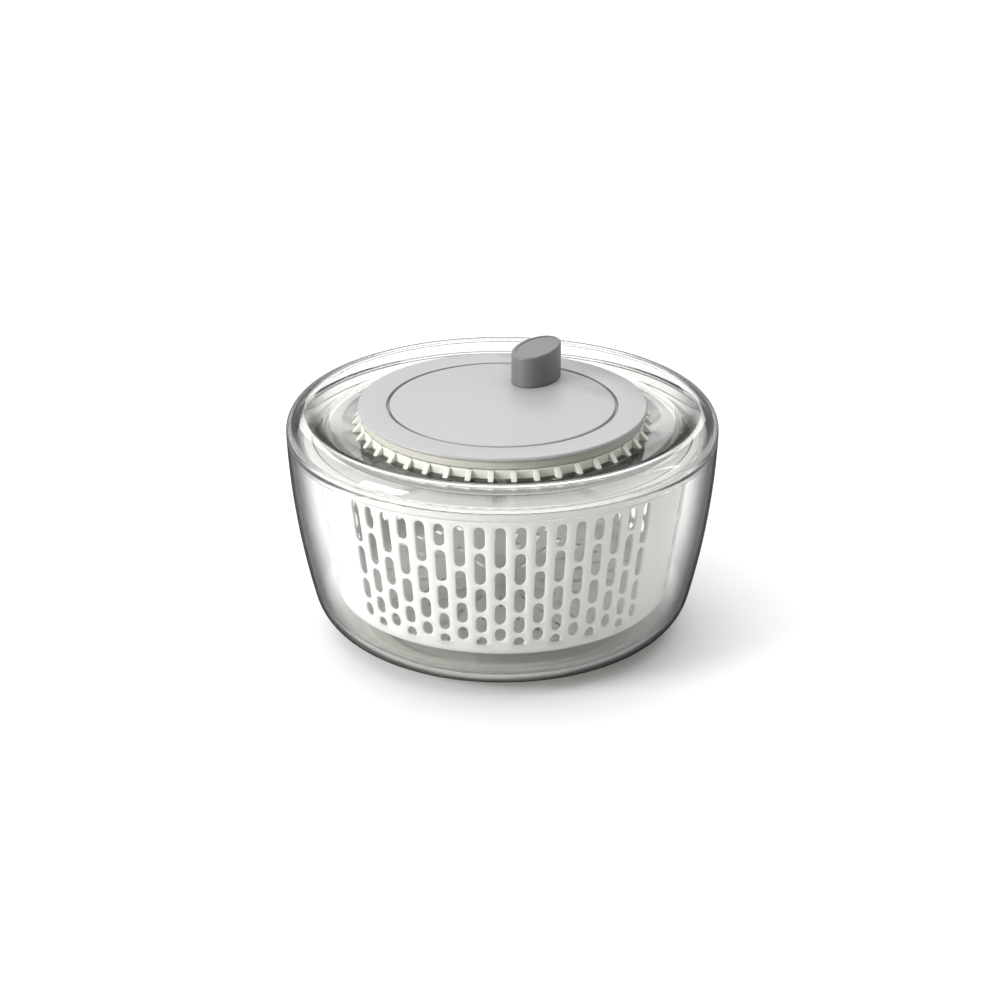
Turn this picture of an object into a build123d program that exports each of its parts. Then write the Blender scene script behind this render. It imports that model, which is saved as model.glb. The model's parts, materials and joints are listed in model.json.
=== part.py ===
"""Salad spinner: a clear bowl with a slotted white basket inside, under a clear lid with a crank disc.

The crank disc carries an internal ring gear. It turns three idlers on pins in the lid, and they turn
the drive gear at the centre, whose spindle goes down through the lid to the drive plate. The plate's
tabs sit in notches in the basket's rim, so the basket turns with it on the pivot pin in the bowl.

Millimetres, +Z up. The origin is at the centre of the surface that the foot ring stands on.
"""

import os
from math import acos, atan2, cos, degrees, pi, radians, sin, sqrt, tan

from build123d import *

# ---------------------------------------------------------------- bowl
RIM_RADIUS = 130.0          # outside of the bowl and of the lid, at the seam
RIM_HEIGHT = 125.0          # the seam, above the table
BOWL_WALL = 3.0
BOWL_FLOOR = 4.0
WALL_LEAN = 2.0             # degrees that the wall leans in at the rim
WALL_CURVE_RADIUS = 470.0   # barrel curve of the wall, seen in section
BASE_FILLET = 30.0
PIVOT_BOSS_RADIUS = 9.0
PIVOT_BOSS_HEIGHT = 8.0     # above the bowl's floor
PIVOT_BOSS_TAPER = 4.0      # degrees

# ---------------------------------------------------------------- foot ring
FOOT_LIFT = 1.0             # how far the foot ring holds the bowl off the table
FOOT_DEPTH = 1.6            # how deep the ring is set into the bowl's base
FOOT_WIDTH = 8.0
FOOT_INSET = 1.0            # from the edge of the flat of the base to the ring's outside

# ---------------------------------------------------------------- pivot
PIN_RADIUS = 3.0
PIN_TIP_FILLET = 2.4
PIN_SET = 6.0               # how deep the pin is pressed into its boss
PIN_TOP = 32.0              # height of the pin's tip
BUSH_WALL = 3.5
BUSH_ROOF = 3.0
BUSH_FLANGE_RADIUS = 10.5
BUSH_FLANGE = 2.0
RUNNING = 0.06              # radial clearance of a shaft in its bore
LOOSE = 0.4                 # clearance between pieces that only locate each other

# ---------------------------------------------------------------- basket
BASKET_FLOOR_HEIGHT = 22.0
BASKET_RIM_DROP = 3.5       # the basket's rim, below the seam
BASKET_WALL = 2.0
BASKET_GAP = 14.5           # from the bowl's outside to the basket's, at the rim
BASKET_TAPER = 0.142        # how much the radius shrinks for each millimetre down
BASKET_FILLET = 9.0
BASKET_FLANGE_REACH = 3.5
BASKET_FLANGE = 2.2
HUB_WALL = 2.4
COLUMNS = 60                # pitch positions round the basket
PANELS = 3                  # groups of slotted columns
PANEL_COLUMNS = 17          # slotted columns in a group, with a plain strip between groups
PANEL_TURN = -0.6           # degrees from -Y to the middle of the first group
SLOT_WIDTH = 6.3
SLOT_GAP = 2.6
SLOT_DROP = 11.0            # from the rim down to the top of every column
LONG_FIRST = (27.2, 19.1, 13.9, 8.9)
SHORT_FIRST = (14.8, 21.2, 16.3, 11.4, 6.7)
CUT_START = 0.8             # shares of the rim's radius that a slot's cut starts and ends at
CUT_END = 1.05
FLOOR_SLOT_WIDTH = 4.0
# circle and length as shares of the floor's radius, and the number of slots
FLOOR_RINGS = ((0.325, 12, 0.173), (0.54, 18, 0.152), (0.735, 30, 0.13), (0.905, 36, 0.108))

# ---------------------------------------------------------------- gears
PRESSURE_ANGLE = 20.0
RING_TEETH = 72
IDLER_TEETH = 27
DRIVE_TEETH = 18
IDLERS = 3
BACKLASH = 0.25             # taken off each tooth, and added to each space of the ring
ROOT_DEPTH = 1.25           # of the module
RING_TIP = 0.9              # of the module, on the ring gear
RIM_DEPTH = 2.6             # of the module, from an idler's pitch circle in to its recess
FLANK_STEPS = 3             # straight steps along a tooth's flank
GEAR_THICKNESS = 4.5
GEAR_FLOAT = 0.5            # between a gear and what is above or below it

# ---------------------------------------------------------------- lid
LID_WALL = 2.5
LID_SIDE = 2.0              # straight part of the lid's side, above the seam
CREST_INSET = 11.0          # from the lid's outside in to its crest
CREST_RISE = 14.2           # the crest, above the seam
VALLEY_INSET = 27.0         # from the lid's outside in to the foot of the crest's inner slope
VALLEY_RISE = 3.0
SLOPE_BULGE = 1.0           # outward bulge of the slope between crest and valley
LIP_DEPTH = 6.0             # how far the locating lip goes down into the bowl
LIP_WALL = 2.2
COLLAR_INSET = 46.0
COLLAR_RISE = 11.6
WELL_RISE = 5.0             # top of the floor that the gears sit on, above the seam

# ---------------------------------------------------------------- rib ring, round the foot of the collar
RIB_RING_WALL = 1.6
RIBS = 42
RIB_THICKNESS = 3.2
RIB_HEIGHT = 5.2
RIB_REACH = 6.5

# ---------------------------------------------------------------- crank disc, cap and slide ring
DISC_OVERHANG = 3.0         # past the collar
DISC_RISE = 16.0            # top of the disc, above the seam
DISC_WEB = 2.0
DISC_EDGE_FILLET = 1.2
DISC_EDGE_CHAMFER = 1.5     # under the disc's edge
CAP_INSET = 19.2            # from the disc's edge in to the cap's
CAP_GROOVE = 1.8            # width of the groove round the cap
CAP_THICKNESS = 2.2
CAP_STAND = 0.6             # height of the ring that the cap stands on
SLIDE_WALL = 0.7
SLIDE_CAP = 1.4
SLIDE_LEG = 3.0
RING_FLANGE_INSET = 5.0     # from the collar's outside in to the ring gear's flange
RING_INSET = 13.95          # from the collar's outside in to the ring gear's wall
RING_FLANGE = 2.0
RING_BODY = 3.0             # ring gear's wall behind its teeth
RING_SCREWS = 6
RING_SCREW_INSET = 9.0
SCREW_RADIUS = 1.2
SCREW_HEAD_RADIUS = 2.3
SCREW_HEAD = 1.3
SCREW_REACH = 3.0

# ---------------------------------------------------------------- spindle and drive plate
SPINDLE_RADIUS = 6.0
BUSH_OUTER_RADIUS = 8.5
SPINDLE_BUSH_FLANGE_RADIUS = 11.0
SPINDLE_BUSH_FLANGE = 1.0
JOURNAL_RADIUS = 4.0        # top of the spindle, where the disc turns on it
CLIP_THICKNESS = 0.8
CLIP_RADIUS = 6.6
CLIP_GROOVE = 0.8
CLIP_MOUTH = 1.6            # of the groove's radius, width of the clip's open side
SPINDLE_TAIL = 0.5          # clearance under the bush before the plate's hub
PLATE_HUB_RADIUS = 12.0
PLATE_HUB_HEIGHT = 7.0
PLATE_THICKNESS = 2.0
PLATE_DROP = 0.2            # top of the plate, below the basket's rim
PLATE_EDGE_GAP = 1.0        # between the plate's rim and the basket's wall
PLATE_LIP = 5.0
PLATE_TABS = 6
TAB_WIDTH = 9.0
TAB_REACH = 3.6
PLATE_VENTS = 12
VENT_CIRCLE = 0.55          # share of the plate's radius
VENT_LENGTH = 0.41
VENT_WIDTH = 5.0
DRIVE_SCREW_RADIUS = 2.2
DRIVE_SCREW_HEAD_RADIUS = 4.2
DRIVE_SCREW_HEAD = 2.4
DRIVE_SCREW_REACH = 10.0
WASHER = 1.0
WASHER_RADIUS = 7.0

# ---------------------------------------------------------------- idler pins
IDLER_PIN_RADIUS = 2.5
IDLER_PIN_SET = 4.5
IDLER_BOSS_RADIUS = 5.5
IDLER_BOSS_DROP = 2.2       # how far the pin's boss hangs under the well's floor
IDLER_HUB_RADIUS = 6.0

# ---------------------------------------------------------------- knob
CRANK_ANGLE = 64.4          # degrees from +X to the knob
KNOB_INSET = 19.8           # from the cap's edge in to the knob's axis
KNOB_LENGTH = 40.0
KNOB_WIDTH = 28.0
KNOB_LOW = 17.4             # height of the knob's inner end
KNOB_HIGH = 22.0            # height of its outer end
KNOB_WALL = 2.6
KNOB_FLOOR = 8.0
KNOB_EDGE_FILLET = 1.3
KNOB_LIFT = 0.6             # gap under the knob
KNOB_BOSS_RADIUS = 6.0
KNOB_BOSS_LIFT = 0.2        # how far the boss stands above the cap
SHOULDER_RADIUS = 4.0
KNOB_THREAD_RADIUS = 2.4
KNOB_THREAD = 4.0
KNOB_HEAD_RADIUS = 6.2
KNOB_HEAD = 2.4
KNOB_WASHER_RADIUS = 8.0
KNOB_CAP_THICKNESS = 2.0
KNOB_CAP_SINK = 0.4         # how far the cap lies below the knob's edge

# ---------------------------------------------------------------- worked out from the sizes above
BASKET_RIM_HEIGHT = RIM_HEIGHT - BASKET_RIM_DROP
BASKET_TOP_RADIUS = RIM_RADIUS - BASKET_GAP
BASKET_FLANGE_RADIUS = BASKET_TOP_RADIUS + BASKET_FLANGE_REACH
SLOT_TOP = BASKET_RIM_HEIGHT - SLOT_DROP
CREST_RADIUS = RIM_RADIUS - CREST_INSET
CREST_HEIGHT = RIM_HEIGHT + CREST_RISE
VALLEY_RADIUS = RIM_RADIUS - VALLEY_INSET
VALLEY_HEIGHT = RIM_HEIGHT + VALLEY_RISE
COLLAR_RADIUS = RIM_RADIUS - COLLAR_INSET
COLLAR_HEIGHT = RIM_HEIGHT + COLLAR_RISE
WELL_FLOOR = RIM_HEIGHT + WELL_RISE
DISC_RADIUS = COLLAR_RADIUS + DISC_OVERHANG
DISC_TOP = RIM_HEIGHT + DISC_RISE
CAP_RADIUS = DISC_RADIUS - CAP_INSET
KNOB_THROW = CAP_RADIUS - KNOB_INSET
RING_FLANGE_RADIUS = COLLAR_RADIUS - RING_FLANGE_INSET
RING_SCREW_CIRCLE = COLLAR_RADIUS - RING_SCREW_INSET
MODULE = (COLLAR_RADIUS - RING_INSET - RING_BODY) / (RING_TEETH / 2 + ROOT_DEPTH)
PLATE_TOP = BASKET_RIM_HEIGHT - PLATE_DROP
WEB_TOP = DISC_TOP - CAP_THICKNESS - CAP_STAND
WEB_BOTTOM = WEB_TOP - DISC_WEB
GEAR_BOTTOM = WELL_FLOOR + GEAR_FLOAT
GEAR_TOP = GEAR_BOTTOM + GEAR_THICKNESS
COLLAR_INNER = COLLAR_RADIUS - LID_WALL
BASE_LEVEL = FOOT_LIFT
BOWL_FLOOR_TOP = BASE_LEVEL + BOWL_FLOOR
RING_PITCH = MODULE * RING_TEETH / 2
IDLER_PITCH = MODULE * IDLER_TEETH / 2
DRIVE_PITCH = MODULE * DRIVE_TEETH / 2
IDLER_CIRCLE = DRIVE_PITCH + IDLER_PITCH
PITCH_THICKNESS = pi * MODULE / 2
COLUMN_PITCH = 360 / COLUMNS
BUSH_OUTER = PIN_RADIUS + BUSH_WALL
BUSH_TOP = PIN_TOP + BUSH_ROOF
HUB_BORE = BUSH_OUTER + RUNNING
HUB_TOP = BUSH_TOP + LOOSE + BASKET_WALL
PLATE_RADIUS = BASKET_TOP_RADIUS - BASKET_WALL - PLATE_EDGE_GAP
PLATE_BOTTOM = PLATE_TOP - PLATE_THICKNESS
BUSH_BOTTOM = WELL_FLOOR - LID_WALL - IDLER_BOSS_DROP - SPINDLE_BUSH_FLANGE
PLATE_HUB_TOP = BUSH_BOTTOM - SPINDLE_TAIL
PLATE_HUB_BOTTOM = PLATE_HUB_TOP - PLATE_HUB_HEIGHT
KNOB_X = KNOB_THROW * cos(radians(CRANK_ANGLE))
KNOB_Y = KNOB_THROW * sin(radians(CRANK_ANGLE))
KNOB_BOTTOM = DISC_TOP + KNOB_LIFT
KNOB_SLOPE = degrees(atan2(KNOB_HIGH - KNOB_LOW, KNOB_LENGTH))
KNOB_PLANE = Plane(origin=(KNOB_X, KNOB_Y, 0), z_dir=(0, 0, 1)).rotated((0, 0, CRANK_ANGLE))
KNOB_TOP_PLANE = Plane(
    origin=(KNOB_X, KNOB_Y, KNOB_BOTTOM + (KNOB_LOW + KNOB_HIGH) / 2),
    z_dir=(0, 0, 1),
).rotated((0, -KNOB_SLOPE, CRANK_ANGLE))

os.makedirs("parts", exist_ok=True)


def write(part, label, with_pcurves=True):
    """Labels a finished piece and writes it as parts/label.step."""
    part.label = label
    export_step(part, f"parts/{label}.step", write_pcurves=with_pcurves)


def gear_outline(teeth, pitch_radius, tip_radius, root_radius, thickness, phase=0.0):
    """Points of an involute gear's outline. A tooth's middle is at the phase, in degrees."""
    base_radius = pitch_radius * cos(radians(PRESSURE_ANGLE))

    def half_angle(radius):
        pressure = acos(min(1.0, base_radius / radius))
        rise = tan(radians(PRESSURE_ANGLE)) - radians(PRESSURE_ANGLE) - (tan(pressure) - pressure)
        return thickness / (2 * pitch_radius) + rise

    start = max(base_radius, root_radius)
    radii = [start + (tip_radius - start) * step / FLANK_STEPS for step in range(FLANK_STEPS + 1)]
    if root_radius < base_radius:
        radii.insert(0, root_radius)
    points = []
    for tooth in range(teeth):
        middle = radians(phase) + 2 * pi * tooth / teeth
        for radius in radii:
            angle = middle - half_angle(max(radius, base_radius))
            points.append((radius * cos(angle), radius * sin(angle)))
        for radius in reversed(radii):
            angle = middle + half_angle(max(radius, base_radius))
            points.append((radius * cos(angle), radius * sin(angle)))
    return points


def bowl_section(inset, floor):
    """Half of the bowl's section in the open BuildSketch, moved in from the outside by the inset."""
    curve = WALL_CURVE_RADIUS - inset
    centre_r = RIM_RADIUS - WALL_CURVE_RADIUS * cos(radians(WALL_LEAN))
    centre_z = RIM_HEIGHT + WALL_CURVE_RADIUS * sin(radians(WALL_LEAN))
    heel_r = centre_r + sqrt(curve**2 - (centre_z - floor) ** 2)
    rim_r = centre_r + sqrt(curve**2 - (centre_z - RIM_HEIGHT) ** 2)
    with BuildLine() as outline:
        Line((0, floor), (heel_r, floor))
        RadiusArc((heel_r, floor), (rim_r, RIM_HEIGHT), -curve)
        Line((rim_r, RIM_HEIGHT), (0, RIM_HEIGHT))
        Line((0, RIM_HEIGHT), (0, floor))
    face = make_face(outline.edges())
    fillet(face.vertices().sort_by_distance((heel_r, floor, 0))[0], BASE_FILLET - inset)


def base_flat_radius():
    """Radius of the flat of the bowl's base, inside its fillet."""
    centre_r = RIM_RADIUS - WALL_CURVE_RADIUS * cos(radians(WALL_LEAN))
    centre_z = RIM_HEIGHT + WALL_CURVE_RADIUS * sin(radians(WALL_LEAN))
    drop = centre_z - BASE_LEVEL - BASE_FILLET
    return centre_r + sqrt((WALL_CURVE_RADIUS - BASE_FILLET) ** 2 - drop**2)


FOOT_OUTER = base_flat_radius() - FOOT_INSET
FOOT_INNER = FOOT_OUTER - FOOT_WIDTH


def basket_radius(height):
    """Outside radius of the basket's wall at a height."""
    return BASKET_TOP_RADIUS - BASKET_TAPER * (BASKET_RIM_HEIGHT - height)


# ================================================================ bowl, foot ring and pivot pin
with BuildPart() as bowl:
    with BuildSketch(Plane.XZ):
        bowl_section(0, BASE_LEVEL)
    revolve(axis=Axis.Z)
    with BuildSketch(Plane.XZ):
        bowl_section(BOWL_WALL, BOWL_FLOOR_TOP)
    revolve(axis=Axis.Z, mode=Mode.SUBTRACT)
    rim_edges = bowl.edges().group_by(Axis.Z)[-1]
    fillet(rim_edges, BOWL_WALL / 6)
    with BuildSketch(Plane.XY.offset(BOWL_FLOOR_TOP)):
        Circle(PIVOT_BOSS_RADIUS)
    extrude(amount=PIVOT_BOSS_HEIGHT, taper=PIVOT_BOSS_TAPER)
    with BuildSketch(Plane.XY.offset(BASE_LEVEL)):
        Circle(FOOT_OUTER)
        Circle(FOOT_INNER, mode=Mode.SUBTRACT)
    extrude(amount=FOOT_DEPTH, mode=Mode.SUBTRACT)
    with BuildSketch(Plane.XY.offset(BOWL_FLOOR_TOP + PIVOT_BOSS_HEIGHT)):
        Circle(PIN_RADIUS)
    extrude(amount=-PIN_SET, mode=Mode.SUBTRACT)
write(bowl.part, "bowl")

with BuildPart() as foot_ring:
    with BuildSketch():
        Circle(FOOT_OUTER)
        Circle(FOOT_INNER, mode=Mode.SUBTRACT)
    extrude(amount=BASE_LEVEL + FOOT_DEPTH)
    fillet(foot_ring.edges().group_by(Axis.Z)[0], FOOT_LIFT / 2)
write(foot_ring.part, "foot_ring")

with BuildPart() as pivot_pin:
    with BuildSketch(Plane.XY.offset(BOWL_FLOOR_TOP + PIVOT_BOSS_HEIGHT - PIN_SET)):
        Circle(PIN_RADIUS)
    extrude(amount=PIN_TOP - (BOWL_FLOOR_TOP + PIVOT_BOSS_HEIGHT - PIN_SET))
    fillet(pivot_pin.edges().group_by(Axis.Z)[-1], PIN_TIP_FILLET)
write(pivot_pin.part, "pivot_pin")

with BuildPart() as pivot_bush:
    with BuildSketch(Plane.XY.offset(BASKET_FLOOR_HEIGHT - BUSH_FLANGE)):
        Circle(BUSH_FLANGE_RADIUS)
    extrude(amount=BUSH_FLANGE)
    with BuildSketch(Plane.XY.offset(BASKET_FLOOR_HEIGHT)):
        Circle(BUSH_OUTER)
    extrude(amount=BUSH_TOP - BASKET_FLOOR_HEIGHT)
    chamfer(pivot_bush.edges().group_by(Axis.Z)[-1], BUSH_WALL / 5)
    with BuildSketch(Plane.XY.offset(BASKET_FLOOR_HEIGHT - BUSH_FLANGE)):
        Circle(PIN_RADIUS + RUNNING)
    extrude(amount=PIN_TOP - (BASKET_FLOOR_HEIGHT - BUSH_FLANGE), mode=Mode.SUBTRACT)
    mouth = pivot_bush.edges().group_by(Axis.Z)[0].sort_by(SortBy.RADIUS)[0]
    chamfer(mouth, BUSH_WALL / 5)
write(pivot_bush.part, "pivot_bush")


# ================================================================ basket
def basket_section(inset, floor):
    """Half of the basket's bucket section in the open BuildSketch, with its corner rounded."""
    corner = (basket_radius(floor) - inset, floor)
    with BuildLine() as outline:
        Line((0, floor), corner)
        Line(corner, (BASKET_TOP_RADIUS - inset, BASKET_RIM_HEIGHT))
        Line((BASKET_TOP_RADIUS - inset, BASKET_RIM_HEIGHT), (0, BASKET_RIM_HEIGHT))
        Line((0, BASKET_RIM_HEIGHT), (0, floor))
    face = make_face(outline.edges())
    fillet(face.vertices().sort_by_distance((*corner, 0))[0], BASKET_FILLET - inset)


def slot_column(lengths):
    """One column of rounded slots on the -Y side, as private solids that reach through the wall."""
    with BuildPart(mode=Mode.PRIVATE) as column:
        top = SLOT_TOP
        for length in lengths:
            with BuildSketch(Plane.XZ.offset(BASKET_TOP_RADIUS * CUT_START)):
                with Locations((0, top - length / 2)):
                    SlotOverall(length, SLOT_WIDTH, rotation=90)
            extrude(amount=BASKET_TOP_RADIUS * (CUT_END - CUT_START))
            top -= length + SLOT_GAP
    return column.part


LONG_COLUMN = slot_column(LONG_FIRST)
SHORT_COLUMN = slot_column(SHORT_FIRST)

with BuildPart() as basket:
    with BuildSketch(Plane.XZ):
        basket_section(0, BASKET_FLOOR_HEIGHT)
    revolve(axis=Axis.Z)
    with BuildSketch(Plane.XZ):
        basket_section(BASKET_WALL, BASKET_FLOOR_HEIGHT + BASKET_WALL)
    revolve(axis=Axis.Z, mode=Mode.SUBTRACT)
    # the hub that the bush turns in
    with BuildSketch(Plane.XY.offset(BASKET_FLOOR_HEIGHT)):
        Circle(HUB_BORE + HUB_WALL)
    extrude(amount=HUB_TOP - BASKET_FLOOR_HEIGHT)
    fillet(basket.edges().filter_by(GeomType.CIRCLE).group_by(Axis.Z)[-2], HUB_WALL / 2)
    with BuildSketch(Plane.XY.offset(BASKET_FLOOR_HEIGHT)):
        Circle(HUB_BORE)
    extrude(amount=BUSH_TOP + LOOSE - BASKET_FLOOR_HEIGHT, mode=Mode.SUBTRACT)
    # the flange round the rim, notched for the drive plate's tabs
    with BuildSketch(Plane.XY.offset(BASKET_RIM_HEIGHT - BASKET_FLANGE)):
        Circle(BASKET_FLANGE_RADIUS)
        Circle(BASKET_TOP_RADIUS - BASKET_WALL, mode=Mode.SUBTRACT)
    extrude(amount=BASKET_FLANGE)
    fillet(basket.edges().filter_by(GeomType.CIRCLE).sort_by(SortBy.RADIUS)[-2:], BASKET_FLANGE / 3)
    with BuildSketch(Plane.XY.offset(PLATE_BOTTOM - LOOSE)):
        with PolarLocations(PLATE_RADIUS, PLATE_TABS, start_angle=PANEL_TURN):
            Rectangle(2 * (TAB_REACH + LOOSE), TAB_WIDTH + 2 * LOOSE)
    extrude(amount=PLATE_THICKNESS + 2 * LOOSE, mode=Mode.SUBTRACT)
    # rings of drain slots in the floor
    floor_flat = basket_radius(BASKET_FLOOR_HEIGHT) - BASKET_FILLET
    for circle, count, length in FLOOR_RINGS:
        with BuildSketch(Plane.XY.offset(BASKET_FLOOR_HEIGHT)):
            with PolarLocations(circle * floor_flat, count, start_angle=PANEL_TURN):
                SlotOverall(length * floor_flat, FLOOR_SLOT_WIDTH)
        extrude(amount=BASKET_WALL, mode=Mode.SUBTRACT)
    # columns of slots in the wall, whose first slot is long and short by turns
    wall_slots = []
    for panel in range(PANELS):
        for column in range(PANEL_COLUMNS):
            turn = PANEL_TURN + panel * 360 / PANELS + (column - (PANEL_COLUMNS - 1) / 2) * COLUMN_PITCH
            wall_slots.append(Rot(0, 0, turn) * (SHORT_COLUMN if column % 2 else LONG_COLUMN))
    add(wall_slots, mode=Mode.SUBTRACT)
write(basket.part, "basket", with_pcurves=False)

# ================================================================ lid
with BuildPart() as lid:
    side_top = RIM_HEIGHT + LID_SIDE
    shoulder = CREST_HEIGHT - side_top
    slope_r = (CREST_RADIUS + VALLEY_RADIUS) / 2 + SLOPE_BULGE
    slope_z = (CREST_HEIGHT + VALLEY_HEIGHT) / 2
    slope_offset = LID_WALL * sin(radians(45))
    with BuildSketch(Plane.XZ):
        with BuildLine():
            Line((RIM_RADIUS, RIM_HEIGHT), (RIM_RADIUS, side_top))
            EllipticalCenterArc(
                (CREST_RADIUS, side_top), RIM_RADIUS - CREST_RADIUS, shoulder, 0, arc_size=90
            )
            Spline(
                (CREST_RADIUS, CREST_HEIGHT),
                (slope_r, slope_z),
                (VALLEY_RADIUS, VALLEY_HEIGHT),
                tangents=[(-1, 0), (-1, 0)],
            )
            Line((VALLEY_RADIUS, VALLEY_HEIGHT), (COLLAR_RADIUS, VALLEY_HEIGHT))
            Line((COLLAR_RADIUS, VALLEY_HEIGHT), (COLLAR_RADIUS, COLLAR_HEIGHT))
            Line((COLLAR_RADIUS, COLLAR_HEIGHT), (COLLAR_INNER, COLLAR_HEIGHT))
            Line((COLLAR_INNER, COLLAR_HEIGHT), (COLLAR_INNER, WELL_FLOOR))
            Line((COLLAR_INNER, WELL_FLOOR), (0, WELL_FLOOR))
            Line((0, WELL_FLOOR), (0, WELL_FLOOR - LID_WALL))
            Line((0, WELL_FLOOR - LID_WALL), (COLLAR_INNER, WELL_FLOOR - LID_WALL))
            Line((COLLAR_INNER, WELL_FLOOR - LID_WALL), (COLLAR_INNER, VALLEY_HEIGHT - LID_WALL))
            Line((COLLAR_INNER, VALLEY_HEIGHT - LID_WALL), (VALLEY_RADIUS, VALLEY_HEIGHT - LID_WALL))
            Spline(
                (VALLEY_RADIUS, VALLEY_HEIGHT - LID_WALL),
                (slope_r + slope_offset, slope_z - slope_offset),
                (CREST_RADIUS, CREST_HEIGHT - LID_WALL),
                tangents=[(1, 0), (1, 0)],
            )
            EllipticalCenterArc(
                (CREST_RADIUS, side_top),
                RIM_RADIUS - CREST_RADIUS - LID_WALL,
                shoulder - LID_WALL,
                0,
                arc_size=90,
            )
            Line((RIM_RADIUS - LID_WALL, side_top), (RIM_RADIUS - LID_WALL, RIM_HEIGHT))
            Line((RIM_RADIUS - LID_WALL, RIM_HEIGHT), (RIM_RADIUS, RIM_HEIGHT))
        make_face()
    revolve(axis=Axis.Z)
    # the locating lip that drops inside the bowl's rim
    lip_outer = RIM_RADIUS - BOWL_WALL - LOOSE
    with BuildSketch(Plane.XY.offset(RIM_HEIGHT - LIP_DEPTH)):
        Circle(lip_outer)
        Circle(lip_outer - LIP_WALL, mode=Mode.SUBTRACT)
    extrude(amount=LIP_DEPTH + LID_SIDE)
    with BuildSketch(Plane.XY.offset(RIM_HEIGHT)):
        Circle(RIM_RADIUS - LID_WALL / 2)
        Circle(lip_outer - LIP_WALL, mode=Mode.SUBTRACT)
    extrude(amount=LID_SIDE)
    # bosses under the floor for the bush and the idler pins
    with BuildSketch(Plane.XY.offset(WELL_FLOOR - LID_WALL)):
        Circle(BUSH_OUTER_RADIUS + LID_WALL)
        with PolarLocations(IDLER_CIRCLE, IDLERS):
            Circle(IDLER_BOSS_RADIUS)
    extrude(amount=-IDLER_BOSS_DROP)
    with BuildSketch(Plane.XY.offset(WELL_FLOOR)):
        Circle(BUSH_OUTER_RADIUS)
    extrude(amount=-(LID_WALL + IDLER_BOSS_DROP), mode=Mode.SUBTRACT)
    with BuildSketch(Plane.XY.offset(WELL_FLOOR)):
        with PolarLocations(IDLER_CIRCLE, IDLERS):
            Circle(IDLER_PIN_RADIUS)
    extrude(amount=-(IDLER_PIN_SET - GEAR_FLOAT), mode=Mode.SUBTRACT)
write(lid.part, "lid")

with BuildPart() as rib:
    with BuildSketch(Plane.XZ):
        with BuildLine():
            Polyline(
                (COLLAR_RADIUS + RIB_RING_WALL / 2, VALLEY_HEIGHT),
                (COLLAR_RADIUS + RIB_REACH, VALLEY_HEIGHT),
                (COLLAR_RADIUS + RIB_RING_WALL, VALLEY_HEIGHT + RIB_HEIGHT),
                (COLLAR_RADIUS + RIB_RING_WALL / 2, VALLEY_HEIGHT + RIB_HEIGHT),
                close=True,
            )
        make_face()
    extrude(amount=RIB_THICKNESS / 2, both=True)

with BuildPart() as rib_ring:
    with BuildSketch(Plane.XY.offset(VALLEY_HEIGHT)):
        Circle(COLLAR_RADIUS + RIB_RING_WALL)
        Circle(COLLAR_RADIUS, mode=Mode.SUBTRACT)
    extrude(amount=RIB_HEIGHT)
    add([Rot(0, 0, 360 * number / RIBS) * rib.part for number in range(RIBS)])
write(rib_ring.part, "rib_ring")

with BuildPart() as slide_ring:
    slide_inner = COLLAR_INNER - SLIDE_WALL
    slide_outer = COLLAR_RADIUS + SLIDE_WALL
    with BuildSketch(Plane.XY.offset(COLLAR_HEIGHT - SLIDE_LEG)):
        Circle(slide_outer)
        Circle(slide_inner, mode=Mode.SUBTRACT)
    extrude(amount=SLIDE_LEG + SLIDE_CAP)
    with BuildSketch(Plane.XY.offset(COLLAR_HEIGHT - SLIDE_LEG)):
        Circle(COLLAR_RADIUS)
        Circle(COLLAR_INNER, mode=Mode.SUBTRACT)
    extrude(amount=SLIDE_LEG, mode=Mode.SUBTRACT)
    fillet(slide_ring.edges().group_by(Axis.Z)[-1], SLIDE_WALL / 2)
write(slide_ring.part, "slide_ring")

with BuildPart() as spindle_bush:
    with BuildSketch(Plane.XY.offset(WELL_FLOOR - LID_WALL - IDLER_BOSS_DROP)):
        Circle(BUSH_OUTER_RADIUS)
    extrude(amount=LID_WALL + IDLER_BOSS_DROP)
    with BuildSketch(Plane.XY.offset(WELL_FLOOR - LID_WALL - IDLER_BOSS_DROP)):
        Circle(SPINDLE_BUSH_FLANGE_RADIUS)
    extrude(amount=-SPINDLE_BUSH_FLANGE)
    with BuildSketch(Plane.XY.offset(WELL_FLOOR)):
        Circle(SPINDLE_RADIUS + RUNNING)
    extrude(
        amount=-(LID_WALL + IDLER_BOSS_DROP + SPINDLE_BUSH_FLANGE), mode=Mode.SUBTRACT
    )
write(spindle_bush.part, "spindle_bush")

with BuildPart() as idler_pins:
    with BuildSketch(Plane.XY.offset(GEAR_BOTTOM - IDLER_PIN_SET)):
        with PolarLocations(IDLER_CIRCLE, IDLERS):
            Circle(IDLER_PIN_RADIUS)
    extrude(amount=IDLER_PIN_SET + GEAR_THICKNESS + GEAR_FLOAT / 2)
    chamfer(idler_pins.edges().group_by(Axis.Z)[-1], IDLER_PIN_RADIUS / 8)
write(idler_pins.part, "idler_pins")

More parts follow.
